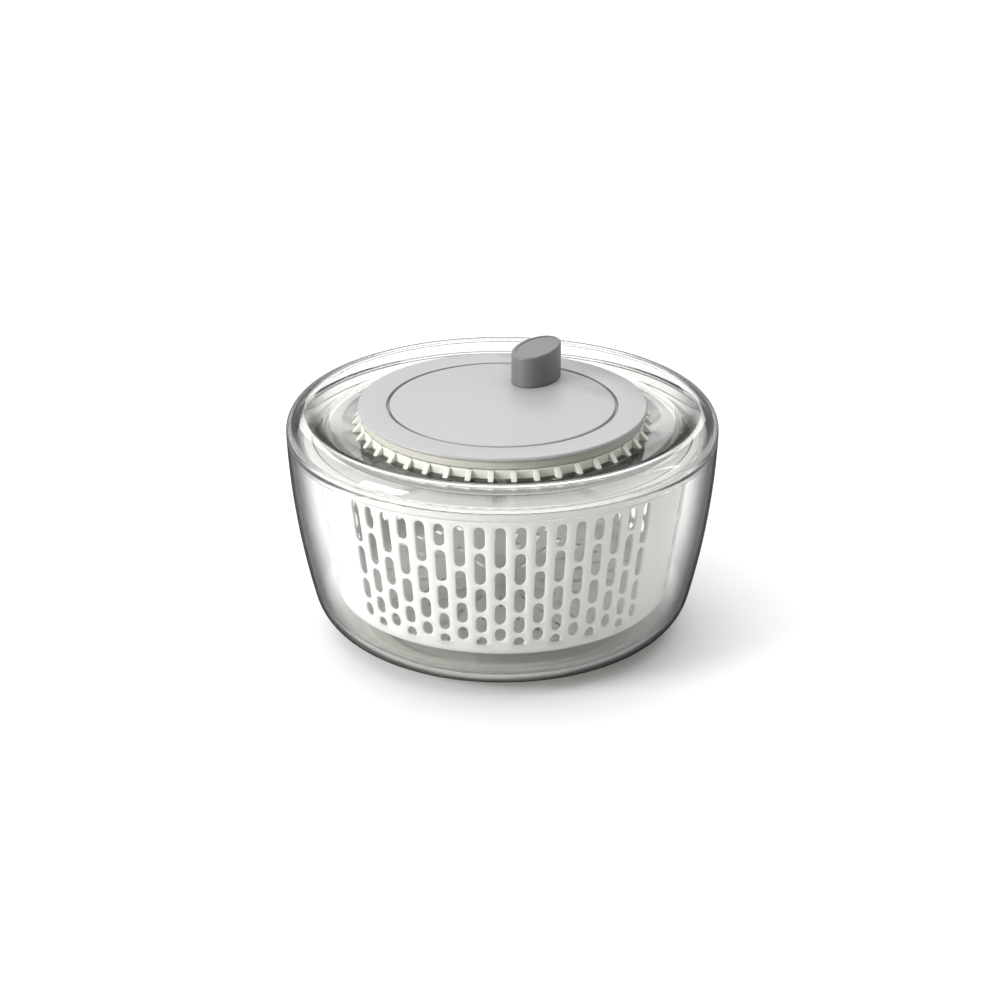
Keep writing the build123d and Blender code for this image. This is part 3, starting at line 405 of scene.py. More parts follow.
@dataclass
class Repeats:
    """The Geometry Nodes trees that repeat a shape about the spin axis."""

    _around: Tree | None = None
    _holes: Tree | None = None

    @staticmethod
    def _copies(tree: Tree) -> bpy.types.NodeSocket:
        """Lays copies of the Shape input about the axis, in groups.

        Args:
            tree: tree with the inputs Shape, Count, Step, Groups, Group Step and Start.

        Returns:
            The socket with the real copies.
        """
        take = tree.start.outputs
        total = tree.math("MULTIPLY", take["Count"], take["Groups"])
        line = tree.add("GeometryNodeMeshLine", mode="OFFSET")
        line.inputs["Offset"].default_value = (0.0, 0.0, 0.0)
        tree.link(total, line.inputs["Count"])
        index = tree.add("GeometryNodeInputIndex").outputs[0]
        place = tree.math("MODULO", index, take["Count"])
        group = tree.math("FLOOR", tree.math("DIVIDE", index, take["Count"]), 0.0)
        turn = tree.math("ADD", tree.math("MULTIPLY", place, take["Step"]), take["Start"])
        turn = tree.math("ADD", turn, tree.math("MULTIPLY", group, take["Group Step"]))
        about = tree.add("ShaderNodeCombineXYZ")
        tree.link(turn, about.inputs["Z"])
        shape = tree.add("GeometryNodeObjectInfo")
        tree.link(take["Shape"], shape.inputs["Object"])
        spread = tree.add("GeometryNodeInstanceOnPoints")
        tree.link(line.outputs[0], spread.inputs["Points"])
        tree.link(shape.outputs["Geometry"], spread.inputs["Instance"])
        tree.link(about.outputs[0], spread.inputs["Rotation"])
        real = tree.add("GeometryNodeRealizeInstances")
        tree.link(spread.outputs[0], real.inputs[0])
        return real.outputs[0]

    @staticmethod
    def _inputs() -> dict[str, str]:
        """Names and types of the inputs that both trees share."""
        return {
            "Shape": "NodeSocketObject",
            "Count": "NodeSocketInt",
            "Step": "NodeSocketFloat",
            "Groups": "NodeSocketInt",
            "Group Step": "NodeSocketFloat",
            "Start": "NodeSocketFloat",
            "Finish": "NodeSocketMaterial",
        }

    def _ended(self, tree: Tree, geometry: bpy.types.NodeSocket, weld: bool) -> Tree:
        """Ends a tree in a weld, Realize Instances and Set Material.

        Args:
            tree: the tree to end.
            geometry: socket with the finished shape.
            weld: whether points that meet are merged.

        Returns:
            The same tree.
        """
        if weld:
            merge = tree.add("GeometryNodeMergeByDistance")
            merge.inputs["Distance"].default_value = COPY_WELD
            tree.link(geometry, merge.inputs["Geometry"])
            geometry = merge.outputs[0]
        real = tree.add("GeometryNodeRealizeInstances")
        paint = tree.add("GeometryNodeSetMaterial")
        tree.link(geometry, real.inputs[0])
        tree.link(real.outputs[0], paint.inputs["Geometry"])
        tree.link(tree.start.outputs["Finish"], paint.inputs["Material"])
        tree.link(paint.outputs[0], tree.end.inputs[0])
        return tree

    def around(self) -> Tree:
        """The tree that adds copies of a shape to a mesh."""
        if self._around is None:
            tree = Tree("Copies round the axis", self._inputs())
            both = tree.add("GeometryNodeJoinGeometry")
            tree.link(self._copies(tree), both.inputs[0])
            tree.link(tree.start.outputs["Geometry"], both.inputs[0])
            self._around = self._ended(tree, both.outputs[0], weld=True)
        return self._around

    def holes(self) -> Tree:
        """The tree that cuts copies of a shape out of a mesh."""
        if self._holes is None:
            tree = Tree("Holes round the axis", self._inputs())
            cut = tree.add("GeometryNodeMeshBoolean", operation="DIFFERENCE", solver="EXACT")
            tree.link(tree.start.outputs["Geometry"], cut.inputs["Mesh 1"])
            tree.link(self._copies(tree), cut.inputs["Mesh 2"])
            self._holes = self._ended(tree, cut.outputs["Mesh"], weld=False)
        return self._holes


def ring_values(
    shape: bpy.types.Object,
    finish: bpy.types.Material,
    count: int,
    step: float,
    start: float = 0.0,
    groups: int = 1,
    group_step: float = 0.0,
) -> dict[str, object]:
    """Values of the repeating trees' inputs, with the angles turned into radians.

    Args:
        shape: the object whose mesh is repeated.
        finish: the material that the whole mesh gets.
        count: copies in a group.
        step: degrees from one copy to the next.
        start: degrees to the first copy.
        groups: number of groups.
        group_step: degrees from one group to the next.

    Returns:
        The values by input name.
    """
    return {
        "Shape": shape,
        "Count": count,
        "Step": math.radians(step),
        "Groups": groups,
        "Group Step": math.radians(group_step),
        "Start": math.radians(start),
        "Finish": finish,
    }


def smooth_cad_nodes(names: Sequence[str], sharp_degrees: float = 32.0) -> None:
    """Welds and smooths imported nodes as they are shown; their own meshes stay as they are.

    Args:
        names: the nodes.
        sharp_degrees: edges that turn more than this stay sharp.
    """
    tree = Tree("Weld and smooth", {})
    merge = tree.add("GeometryNodeMergeByDistance")
    merge.inputs["Distance"].default_value = WELD
    tree.link(tree.start.outputs["Geometry"], merge.inputs["Geometry"])
    faces = tree.add("GeometryNodeSetShadeSmooth", domain="FACE")
    tree.link(merge.outputs[0], faces.inputs["Geometry"])
    angle = tree.add("GeometryNodeInputMeshEdgeAngle")
    shallow = tree.add("FunctionNodeCompare", data_type="FLOAT", operation="LESS_THAN")
    tree.link(angle.outputs["Unsigned Angle"], shallow.inputs[0])
    shallow.inputs[1].default_value = math.radians(sharp_degrees)
    edges = tree.add("GeometryNodeSetShadeSmooth", domain="EDGE")
    tree.link(faces.outputs[0], edges.inputs["Geometry"])
    tree.link(shallow.outputs[0], edges.inputs["Shade Smooth"])
    tree.link(edges.outputs[0], tree.end.inputs[0])
    for name in names:
        modifier = frame["nodes"][name].modifiers.new("Weld and smooth", "NODES")
        modifier.node_group = tree.tree


# ---------------------------------------------------------------------------- shader trees


Colour = tuple[float, float, float]


@dataclass
class Shade:
    """A shader tree whose nodes are added with their inputs in place."""

    tree: bpy.types.NodeTree

    def add(self, kind: str, inputs: dict[str | int, object], **settings: object) -> bpy.types.Node:
        """Adds a node.

        Args:
            kind: Blender's name of the node, without its ShaderNode.
            inputs: what each input gets, a socket or a plain value.
            settings: properties of the node.

        Returns:
            The node.
        """
        node = self.tree.nodes.new("ShaderNode" + kind)
        for key, value in settings.items():
            setattr(node, key, value)
        for key, value in inputs.items():
            if isinstance(value, bpy.types.NodeSocket):
                self.tree.links.new(value, node.inputs[key])
            else:
                node.inputs[key].default_value = value
        return node

    def math(self, operation: str, first: object, second: object) -> bpy.types.NodeSocket:
        """The result of a Math node on two sockets or plain numbers."""
        return self.add("Math", {0: first, 1: second}, operation=operation).outputs[0]

    def mix(self, share: bpy.types.NodeSocket, first: object, second: object) -> bpy.types.NodeSocket:
        """The blend of two colours, each a socket or a plain colour.

        Args:
            share: share of the second colour.
            first: the first colour.
            second: the second colour.

        Returns:
            The result's socket.
        """
        pair = [(*tone, 1.0) if isinstance(tone, tuple) else tone for tone in (first, second)]
        return self.add("Mix", {0: share, 6: pair[0], 7: pair[1]}, data_type="RGBA").outputs[2]


def new_group(name: str, inputs: dict[str, float], outputs: Sequence[str]) -> bpy.types.NodeTree:
    """A shader node group with float inputs and outputs.

    Args:
        name: name of the group.
        inputs: default value of each input.
        outputs: names of the outputs.

    Returns:
        The group.
    """
    group = bpy.data.node_groups.new(name, "ShaderNodeTree")
    for title, value in inputs.items():
        socket = group.interface.new_socket(title, in_out="INPUT", socket_type="NodeSocketFloat")
        socket.default_value = value
    for title in outputs:
        group.interface.new_socket(title, in_out="OUTPUT", socket_type="NodeSocketFloat")
    group.nodes.new("NodeGroupInput")
    group.nodes.new("NodeGroupOutput")
    return group


def moulded_skin() -> bpy.types.NodeTree:
    """Skin of moulded plastic: a slow ripple, a fine grain, and cloudy patches.

    Returns:
        The group. Its outputs are Height and Cloud, both from 0 to 1.
    """
    name = "Moulded skin"
    if name in bpy.data.node_groups:
        return bpy.data.node_groups[name]
    inputs = {"Ripple Scale": 30.0, "Grain Scale": 2500.0, "Grain Share": 0.5}
    group = new_group(name, inputs, ("Height", "Cloud"))
    shade = Shade(group)
    take, give = group.nodes["Group Input"].outputs, group.nodes["Group Output"].inputs
    place = shade.add("TexCoord", {}).outputs["Object"]
    slow = shade.math("MULTIPLY", take["Ripple Scale"], 0.6)
    ripple = shade.add("TexNoise", {"Vector": place, "Scale": take["Ripple Scale"], "Detail": 2.0})
    grain = shade.add("TexNoise", {"Vector": place, "Scale": take["Grain Scale"], "Detail": 4.0})
    cloud = shade.add("TexNoise", {"Vector": place, "Scale": slow, "Detail": 6.0, "Distortion": 0.6})
    blend = shade.add("Mix", {0: take["Grain Share"], 2: ripple.outputs[0], 3: grain.outputs[0]})
    group.links.new(blend.outputs[0], give["Height"])
    group.links.new(cloud.outputs[0], give["Cloud"])
    return group


def turned_metal() -> bpy.types.NodeTree:
    """Fine rings left on metal by a lathe.

    Returns:
        The group. Its output is Height, from 0 to 1.
    """
    name = "Turned metal"
    if name in bpy.data.node_groups:
        return bpy.data.node_groups[name]
    group = new_group(name, {"Scale": 900.0}, ("Height",))
    shade = Shade(group)
    place = shade.add("TexCoord", {}).outputs["Object"]
    inputs = {"Vector": place, "Scale": group.nodes["Group Input"].outputs["Scale"], "Distortion": 1.5}
    wave = shade.add("TexWave", inputs, wave_type="RINGS", rings_direction="Z")
    group.links.new(wave.outputs["Fac"], group.nodes["Group Output"].inputs["Height"])
    return group


# ---------------------------------------------------------------------------- finishes


@dataclass(frozen=True)
class Finish:
    """What every finish has: a name, two tones of one colour, and a span of roughness."""

    name: str
    light: Colour
    dark: Colour
    smooth: float = 0.3
    rough: float = 0.4
    ripple_scale: float = 30.0
    grain_scale: float = 2500.0
    grain_share: float = 0.5
    bump: float = 0.1

    def start(self) -> tuple[bpy.types.Material, bpy.types.Node, bpy.types.Node]:
        """Makes the material with its Principled BSDF and its skin group.

        Returns:
            The material, the Principled BSDF and the group node.
        """
        material = bpy.data.materials.new(self.name)
        material.use_nodes = True
        nodes = material.node_tree.nodes
        skin = nodes.new("ShaderNodeGroup")
        skin.node_tree = moulded_skin()
        skin.inputs["Ripple Scale"].default_value = self.ripple_scale
        skin.inputs["Grain Scale"].default_value = self.grain_scale
        skin.inputs["Grain Share"].default_value = self.grain_share
        return material, nodes["Principled BSDF"], skin

    def dress(self, material: bpy.types.Material, shader: bpy.types.Node, skin: bpy.types.Node) -> None:
        """Drives colour, roughness and bump from the skin group.

        Args:
            material: the material.
            shader: its Principled BSDF.
            skin: its skin group.
        """
        shade = Shade(material.node_tree)
        cloud = skin.outputs["Cloud"]
        tone = shade.mix(cloud, self.dark, self.light)
        rough = shade.add("MapRange", {
            "Value": cloud, "From Min": 0.3, "From Max": 0.7, "To Min": self.smooth, "To Max": self.rough,
        }).outputs[0]
        bump = shade.add("Bump", {
            "Height": skin.outputs["Height"], "Strength": self.bump, "Distance": 0.2 * MM,
        }).outputs[0]
        for title, source in (("Base Color", tone), ("Roughness", rough), ("Normal", bump)):
            shade.tree.links.new(source, shader.inputs[title])

    def make(self) -> bpy.types.Material:
        """Makes an opaque plastic.

        Returns:
            The material.
        """
        material, shader, skin = self.start()
        self.dress(material, shader, skin)
        return material


@dataclass(frozen=True)
class ClearPlastic(Finish):
    """Clear moulded plastic that bends what is seen through it and lets light in; where its wall is seen
    edge-on it gets a painted dark rim, a painted dark reflection.
    """

    index: float = 1.49
    body: Colour = (0.935, 0.94, 0.93)
    # colour of the painted dark rim: painted shade where the wall is seen edge-on
    edge: Colour = (0.35, 0.355, 0.34)
    # the next three: where the painted dark rim starts and is full, in Layer Weight facing, and how much of
    # the camera's view it takes at full
    painted_rim_start: float = 0.6
    painted_rim_full: float = 0.92
    painted_rim_share: float = 0.85

    def make(self) -> bpy.types.Material:
        """Makes the clear plastic. Light passes it on its way to what is inside. Where the wall is seen
        edge-on, its colour, the colour of the light that passes and part of the camera's view are painted
        dark: a painted dark reflection at the rim.

        Returns:
            The material.
        """
        material, shader, skin = self.start()
        self.dress(material, shader, skin)
        shader.inputs["Transmission Weight"].default_value = 1.0
        shader.inputs["IOR"].default_value = self.index
        shade = Shade(material.node_tree)
        # painted dark rim: from 0 where the wall faces the camera to 1 where it is seen edge-on
        painted_rim = shade.add("MapRange", {
            "Value": shade.add("LayerWeight", {"Blend": 0.5}).outputs["Facing"],
            "From Min": self.painted_rim_start, "From Max": self.painted_rim_full,
        }, interpolation_type="SMOOTHSTEP").outputs[0]
        # painted shade: the refracting colour is darkened to the rim colour where the wall is seen edge-on
        colour_with_painted_rim = shade.mix(painted_rim, shader.inputs["Base Color"].links[0].from_socket, self.edge)
        shade.tree.links.new(colour_with_painted_rim, shader.inputs["Base Color"])
        path = shade.add("LightPath", {}).outputs
        # the see-through colour is darkened at the rim too, so the painted dark rim also falls on shadows
        # and on what is seen inside
        clear_way_and_painted_rim = shade.add("BsdfTransparent", {"Color": shade.mix(painted_rim, self.body, self.edge)})
        through = shade.math("MAXIMUM", path["Is Shadow Ray"], path["Is Diffuse Ray"])
        # at the rim, camera rays partly see the painted dark colour in place of the refraction
        share = shade.math("MAXIMUM", through, shade.math("MULTIPLY", painted_rim, self.painted_rim_share))
        either = shade.add("MixShader", {0: share, 1: shader.outputs[0], 2: clear_way_and_painted_rim.outputs[0]})
        surface = shade.tree.nodes["Material Output"].inputs["Surface"]
        shade.tree.links.new(either.outputs[0], surface)
        return material


@dataclass(frozen=True)
class MilkyPlastic(Finish):
    """White plastic that lets a little light through its thin wall."""

    glow: float = 0.25

    def make(self) -> bpy.types.Material:
        """Makes the milky plastic.

        Returns:
            The material.
        """
        material, shader, skin = self.start()
        self.dress(material, shader, skin)
        shader.inputs["Subsurface Weight"].default_value = self.glow
        shader.inputs["Subsurface Radius"].default_value = (1.0, 0.95, 0.9)
        shader.inputs["Subsurface Scale"].default_value = 2.0 * MM
        return material


@dataclass(frozen=True)
class TurnedSteel(Finish):
    """Bright steel with the fine rings of a lathe."""

    def make(self) -> bpy.types.Material:
        """Makes the steel.

        Returns:
            The material.
        """
        material, shader, skin = self.start()
        self.dress(material, shader, skin)
        shader.inputs["Metallic"].default_value = 1.0
        tree = material.node_tree
        rings = Shade(tree).add("Group", {}, node_tree=turned_metal())
        tree.links.new(rings.outputs["Height"], tree.nodes["Bump"].inputs["Height"])
        return material


FINISHES: dict[str, Finish] = {
    "clear_bowl": ClearPlastic(
        "Clear bowl plastic", (0.985, 0.988, 0.98), (0.97, 0.974, 0.965),
        smooth=0.01, rough=0.03, ripple_scale=18.0, grain_scale=900.0, grain_share=0.05, bump=0.03,
        # painted dark rim of the bowl: painted shade where its wall is seen edge-on
        edge=(0.09, 0.09, 0.08), painted_rim_start=0.5, painted_rim_full=0.9, painted_rim_share=0.92,
    ),
    "clear_lid": ClearPlastic(
        "Clear lid plastic", (0.95, 0.953, 0.945), (0.925, 0.93, 0.92),
        smooth=0.015, rough=0.05, ripple_scale=30.0, grain_scale=900.0, grain_share=0.06, bump=0.05,
        # painted dark rim of the lid: painted shade where its wall is seen edge-on
        edge=(0.22, 0.22, 0.20), painted_rim_start=0.44, painted_rim_full=0.96, painted_rim_share=0.92,
    ),
    "white_plate": MilkyPlastic(
        "White drive plate plastic", (0.64, 0.645, 0.625), (0.60, 0.605, 0.585),
        smooth=0.3, rough=0.45, ripple_scale=34.0, grain_scale=3000.0, grain_share=0.6, bump=0.12,
    ),
    "rib_white": MilkyPlastic(
        "Rib ring plastic", (0.84, 0.84, 0.77), (0.78, 0.78, 0.71),
        smooth=0.3, rough=0.42, ripple_scale=60.0, grain_scale=3200.0, grain_share=0.6, bump=0.12, glow=0.4,
    ),
    "white_basket": MilkyPlastic(
        "White basket plastic", (0.76, 0.765, 0.74), (0.72, 0.725, 0.70),
        smooth=0.28, rough=0.42, ripple_scale=26.0, grain_scale=3000.0, grain_share=0.6, bump=0.12,
    ),
    "light_grey": Finish(
        "Light grey crank plastic", (0.395, 0.395, 0.396), (0.37, 0.37, 0.371),
        smooth=0.34, rough=0.46, ripple_scale=24.0, grain_scale=4200.0, grain_share=0.8, bump=0.16,
    ),
    "knob_grey": Finish(
        "Knob grey plastic", (0.165, 0.171, 0.171), (0.148, 0.154, 0.154),
        smooth=0.36, rough=0.5, ripple_scale=40.0, grain_scale=5200.0, grain_share=0.85, bump=0.25,
    ),
    "gear_grey": Finish(
        "Gear plastic", (0.56, 0.55, 0.49), (0.50, 0.49, 0.43),
        smooth=0.32, rough=0.44, ripple_scale=50.0, grain_scale=3600.0, grain_share=0.7, bump=0.14,
    ),
    "white_slide": MilkyPlastic(
        "Slide plastic", (0.80, 0.81, 0.79), (0.74, 0.75, 0.73),
        smooth=0.22, rough=0.34, ripple_scale=60.0, grain_scale=3000.0, grain_share=0.5, bump=0.1,
    ),
    "steel": TurnedSteel(
        "Turned steel", (0.66, 0.66, 0.67), (0.56, 0.56, 0.57),
        smooth=0.22, rough=0.36, ripple_scale=90.0, grain_scale=4000.0, bump=0.08,
    ),
    "foot_rubber": Finish(
        "Foot rubber", (0.92, 0.90, 0.82), (0.87, 0.85, 0.77),
        smooth=0.5, rough=0.65, ripple_scale=60.0, grain_scale=6000.0, grain_share=0.9, bump=0.35,
    ),
}


class Wardrobe:
    """Makes each finish once and hands it out."""

    def __init__(self) -> None:
        """Starts with nothing made."""
        self._made: dict[str, bpy.types.Material] = {}

    def get(self, slot: str) -> bpy.types.Material:
        """The material of a slot.

        Args:
            slot: name of the material slot.

        Returns:
            The material, made on first use.
        """
        if slot not in self._made:
            self._made[slot] = FINISHES[slot].make()
        return self._made[slot]


@dataclass
class Workshop:
    """What every sub-assembly builds with: the finishes and the repeating trees."""

    wardrobe: Wardrobe = field(default_factory=Wardrobe)
    repeats: Repeats = field(default_factory=Repeats)

    def settle(
        self, piece: bpy.types.Object, body: Body, slot: str, stands_for: Sequence[str] = ()
    ) -> bpy.types.Object:
        """Gives a finished piece its material, its body and the nodes that it stands for.

        Args:
            piece: the finished piece.
            body: the body that it moves with.
            slot: the material slot that it takes its finish from.
            stands_for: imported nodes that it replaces.

        Returns:
            The same piece.
        """
        piece.data.materials.clear()
        piece.data.materials.append(self.wardrobe.get(slot))
        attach(piece, body.value)
        if stands_for:
            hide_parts(*stands_for)
        LOG.info("%s rides on %s in %s", piece.name, body.value, slot)
        return piece

    def _repeat(
        self, tree: Tree, piece: bpy.types.Object, shape: bpy.types.Object, slot: str, **ring: float
    ) -> bpy.types.Object:
        """Runs a repeating tree on a piece and removes the shape that it repeats.

        Args:
            tree: the repeating tree.
            piece: the mesh that is changed.
            shape: the shape or the cutter.
            slot: the material slot of the whole mesh.
            ring: how the copies are spaced, as in ring_values.

        Returns:
            The same piece.
        """
        tree.bake(piece, ring_values(shape, self.wardrobe.get(slot), **ring))
        bpy.data.objects.remove(shape)
        return piece

    def copies(self, *work: object, **ring: float) -> bpy.types.Object:
        """Adds copies of a shape to a piece, as in _repeat."""
        return self._repeat(self.repeats.around(), *work, **ring)

    def holes(self, *work: object, **ring: float) -> bpy.types.Object:
        """Cuts copies of a shape out of a piece, as in _repeat."""
        return self._repeat(self.repeats.holes(), *work, **ring)


# ---------------------------------------------------------------------------- bowl


@dataclass
class Bowl:
    """The clear bowl, with its barrel-curved wall, thick base and pivot boss."""

    shop: Workshop
    wall: float = 3.0 * MM
    floor: float = 4.0 * MM
    wall_lean: float = 2.0
    wall_curve: float = 470.0 * MM
    base_fillet: float = 30.0 * MM
    boss_radius: float = 9.0 * MM
    boss_height: float = 8.0 * MM
    boss_foot: float = 1.5 * MM
    boss_draft: float = 0.4 * MM
    boss_blend: float = 0.5 * MM
    boss_edge: float = 0.6 * MM
    lip_round: float = 0.3
    heel_spans: int = 18
    side_spans: int = 30
    segments: int = 192

    def __post_init__(self) -> None:
        """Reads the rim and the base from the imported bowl."""
        self.base = low("bowl").z
        self.rim = high("bowl").z
        self.radius = high("lid").x
        lean = math.radians(self.wall_lean)
        self.centre_r = self.radius - self.wall_curve * math.cos(lean)
        self.centre_z = self.rim + self.wall_curve * math.sin(lean)

    def skin(self, inset: float, floor: float) -> Profile:
        """One skin of the bowl, from the edge of its flat floor up to its rim.

        Args:
            inset: how far the skin lies inside the outer one.
            floor: height of the skin's floor.

        Returns:
            The points from the floor to the rim.
        """
        fillet = self.base_fillet - inset
        curve = self.wall_curve - inset
        middle_z = floor + fillet
        middle_r = self.centre_r + math.sqrt((curve - fillet) ** 2 - (self.centre_z - middle_z) ** 2)
        meet = math.degrees(math.atan2(middle_z - self.centre_z, middle_r - self.centre_r))
        last = -math.degrees(math.asin((self.centre_z - self.rim) / curve))
        heel = arc((middle_r, middle_z), fillet, -90.0, meet, self.heel_spans)
        side = arc((self.centre_r, self.centre_z), curve, meet, last, self.side_spans)
        return heel + side[1:]

    def build(self) -> bpy.types.Object:
        """Builds the bowl.

        Returns:
            The finished bowl.
        """
        outer = self.skin(0.0, self.base)
        inner = self.skin(self.wall, self.base + self.floor)
        lip = self.wall / 6
        round_in = lip * self.lip_round
        outer[-1] = (outer[-1][0], self.rim - lip)
        inner[-1] = (inner[-1][0], self.rim - lip)
        crown = [(outer[-1][0] - round_in, self.rim - round_in), (outer[-1][0] - lip, self.rim)]
        crown += [(inner[-1][0] + lip, self.rim), (inner[-1][0] + round_in, self.rim - round_in)]
        floor = self.base + self.floor
        boss_top = floor + self.boss_height
        boss = [
            (self.boss_radius + self.boss_foot, floor),
            (self.boss_radius + self.boss_draft, floor + self.boss_blend),
            (self.boss_radius - self.boss_draft, boss_top - self.boss_edge),
            (self.boss_radius - self.boss_draft - self.boss_edge, boss_top),
        ]
        outline = [(0.0, self.base), (outer[0][0] * 0.5, self.base)] + outer + crown
        outline += list(reversed(inner)) + [(inner[0][0] * 0.5, floor)] + boss
        outline += [(0.0, boss_top)]
        piece = lathe("bowl_clear", outline, self.segments, closed=False)
        return self.shop.settle(piece, Body.BOWL, "clear_bowl", ["bowl"])


# ---------------------------------------------------------------------------- lid


@dataclass
class Lid:
    """The clear lid: a rounded shoulder, a valley, and the well that the gears run in."""

    shop: Workshop
    wall: float = 2.5 * MM
    side: float = 2.0 * MM
    crest_radius: float = 119.0 * MM
    valley_radius: float = 103.0 * MM
    valley_rise: float = 3.0 * MM
    lip_depth: float = 6.0 * MM
    lip_wall: float = 2.2 * MM
    lip_inset: float = 3.4 * MM
    collar_radius: float = 84.0 * MM
    collar_rise: float = 11.6 * MM
    well_rise: float = 5.0 * MM
    bush_radius: float = 8.5 * MM
    bush_boss: float = 11.0 * MM
    boss_drop: float = 2.2 * MM
    pin_radius: float = 2.5 * MM
    pin_boss: float = 5.5 * MM
    pins: int = 3
    boss_gap: float = 0.02 * MM
    boss_edge: float = 0.4 * MM
    edge: float = 0.6 * MM
    crest_spans: int = 18
    slope_spans: int = 20
    segments: int = 192

    def __post_init__(self) -> None:
        """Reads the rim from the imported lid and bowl."""
        self.radius = high("lid").x
        self.rim = high("bowl").z
        self.crest = high("lid").z
        self.valley = self.rim + self.valley_rise
        self.well = self.rim + self.well_rise
        self.collar = self.rim + self.collar_rise

    def shoulder(self) -> Profile:
        """The outer skin from the foot of the side over the crest to the valley.

        Returns:
            The points in order.
        """
        path = [(self.radius, self.rim + self.side * step / 2) for step in range(2)]
        rise = self.crest - self.rim - self.side
        for step in range(self.crest_spans + 1):
            turn = math.radians(90.0 / self.crest_spans * step)
            reach = (self.radius - self.crest_radius) * math.cos(turn)
            path.append((self.crest_radius + reach, self.rim + self.side + rise * math.sin(turn)))
        for step in range(1, self.slope_spans + 1):
            share = step / self.slope_spans
            ease = (1 + math.cos(math.pi * share)) / 2
            r = self.crest_radius + (self.valley_radius - self.crest_radius) * share
            path.append((r, self.valley + (self.crest - self.valley) * ease))
        return path

    def outline(self) -> Profile:
        """The whole section of the lid, as a closed outline.

        Returns:
            The points in order.
        """
        outer = self.shoulder()
        inner = [(r, z) for r, z in offset_path(outer, -self.wall) if z > self.rim + self.side]
        edge = self.edge
        collar_in = self.collar_radius - self.wall
        under_well = self.well - self.wall
        under_valley = self.valley - self.wall
        boss_low = under_well - self.boss_drop
        middle = round_corners([
            (self.valley_radius, self.valley, 0.0),
            (self.collar_radius, self.valley, edge),
            (self.collar_radius, self.collar, edge),
            (collar_in, self.collar, edge),
            (collar_in, self.well, edge),
            (self.bush_radius, self.well, 0.0),
            (self.bush_radius, boss_low, 0.0),
            (self.bush_boss, boss_low, edge),
            (self.bush_boss, under_well, edge),
            (collar_in, under_well, edge),
            (collar_in, under_valley, edge),
            (self.valley_radius, under_valley, 0.0),
        ])
        lip_out = self.radius - self.lip_inset
        lip_in = lip_out - self.lip_wall
        lip_low = self.rim - self.lip_depth
        lip = [(inner[0][0], self.rim + self.side), (lip_in, self.rim + self.side)]
        lip += [(lip_in, lip_low + edge), (lip_in + edge, lip_low), (lip_out - edge, lip_low)]
        lip += [(lip_out, lip_low + edge), (lip_out, self.rim)]
        return outer[:-1] + middle[:-1] + list(reversed(inner)) + lip

    def boss(self) -> bpy.types.Object:
        """One boss under the well's floor for an idler's pin, on the +X side.

        Returns:
            The boss.
        """
        circle = high("idler_pins").x - self.pin_radius
        top = self.well - self.wall - self.boss_gap
        bottom = self.well - self.wall - self.boss_drop
        edge = self.boss_edge
        boss = lathe("boss_shape", [
            (0.0, bottom), (self.pin_boss - edge, bottom), (self.pin_boss, bottom + edge),
            (self.pin_boss, top), (0.0, top),
        ], 40, closed=False)
        for vertex in boss.data.vertices:
            vertex.co.x += circle
        return boss

    def build(self) -> bpy.types.Object:
        """Builds the lid with its pin bosses.

        Returns:
            The finished lid.
        """
        piece = lathe("lid_clear", self.outline(), self.segments)
        self.shop.copies(piece, self.boss(), "clear_lid", count=self.pins, step=360 / self.pins)
        return self.shop.settle(piece, Body.LID, "clear_lid", ["lid"])


# ---------------------------------------------------------------------------- rib ring


@dataclass
class RibRing:
    """The milky ring of small buttresses round the foot of the lid's collar."""

    shop: Workshop
    radius: float = 84.0 * MM
    wall: float = 1.6 * MM
    count: int = 42
    thickness: float = 3.2 * MM
    reach: float = 6.5 * MM
    soft: float = 0.35 * MM
    foot_edge: float = 0.2 * MM
    top_edge: float = 0.5 * MM
    top_reach: float = 0.3 * MM
    segments: int = 168

    def __post_init__(self) -> None:
        """Reads the ring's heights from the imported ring."""
        self.foot = low("rib_ring").z
        self.top = high("rib_ring").z

    def rib(self) -> bpy.types.Object:
        """One buttress, on the +X side.

        Returns:
            The buttress.
        """
        root = self.radius + self.wall / 2
        corners = round_corners([
            (root, self.foot, 0.0),
            (self.radius + self.reach, self.foot, 0.0),
            (self.radius + self.reach - self.foot_edge, self.foot + 2 * self.foot_edge, self.foot_edge),
            (self.radius + self.wall + self.top_reach, self.top, self.top_edge),
            (root, self.top, 0.0),
        ], 3)
        half = self.thickness / 2
        soft = self.soft
        centre = Vector((sum(r for r, _ in corners), 0.0, sum(z for _, z in corners))) / len(corners)
        rings: list[Ring] = []
        for y, shrink in ((-half, soft), (-half + soft, 0.0), (half - soft, 0.0), (half, soft)):
            ring = []
            for r, z in corners:
                inward = Vector((centre.x - r, 0.0, centre.z - z)).normalized()
                ring.append(Vector((r, y, z)) + inward * shrink)
            rings.append(ring)
        return capped("rib_shape", rings, *(Vector((centre.x, y, centre.z)) for y in (-half, half)))

    def build(self) -> bpy.types.Object:
        """Builds the ring with its buttresses.

        Returns:
            The finished ring.
        """
        outline = round_corners([
            (self.radius, self.foot, 0.0),
            (self.radius + self.wall, self.foot, 0.0),
            (self.radius + self.wall, self.top, self.top_edge),
            (self.radius, self.top, self.foot_edge),
        ])
        piece = lathe("rib_ring_white", outline, self.segments)
        self.shop.copies(piece, self.rib(), "rib_white", count=self.count, step=360 / self.count)
        return self.shop.settle(piece, Body.LID, "rib_white", ["rib_ring"])


# ---------------------------------------------------------------------------- basket


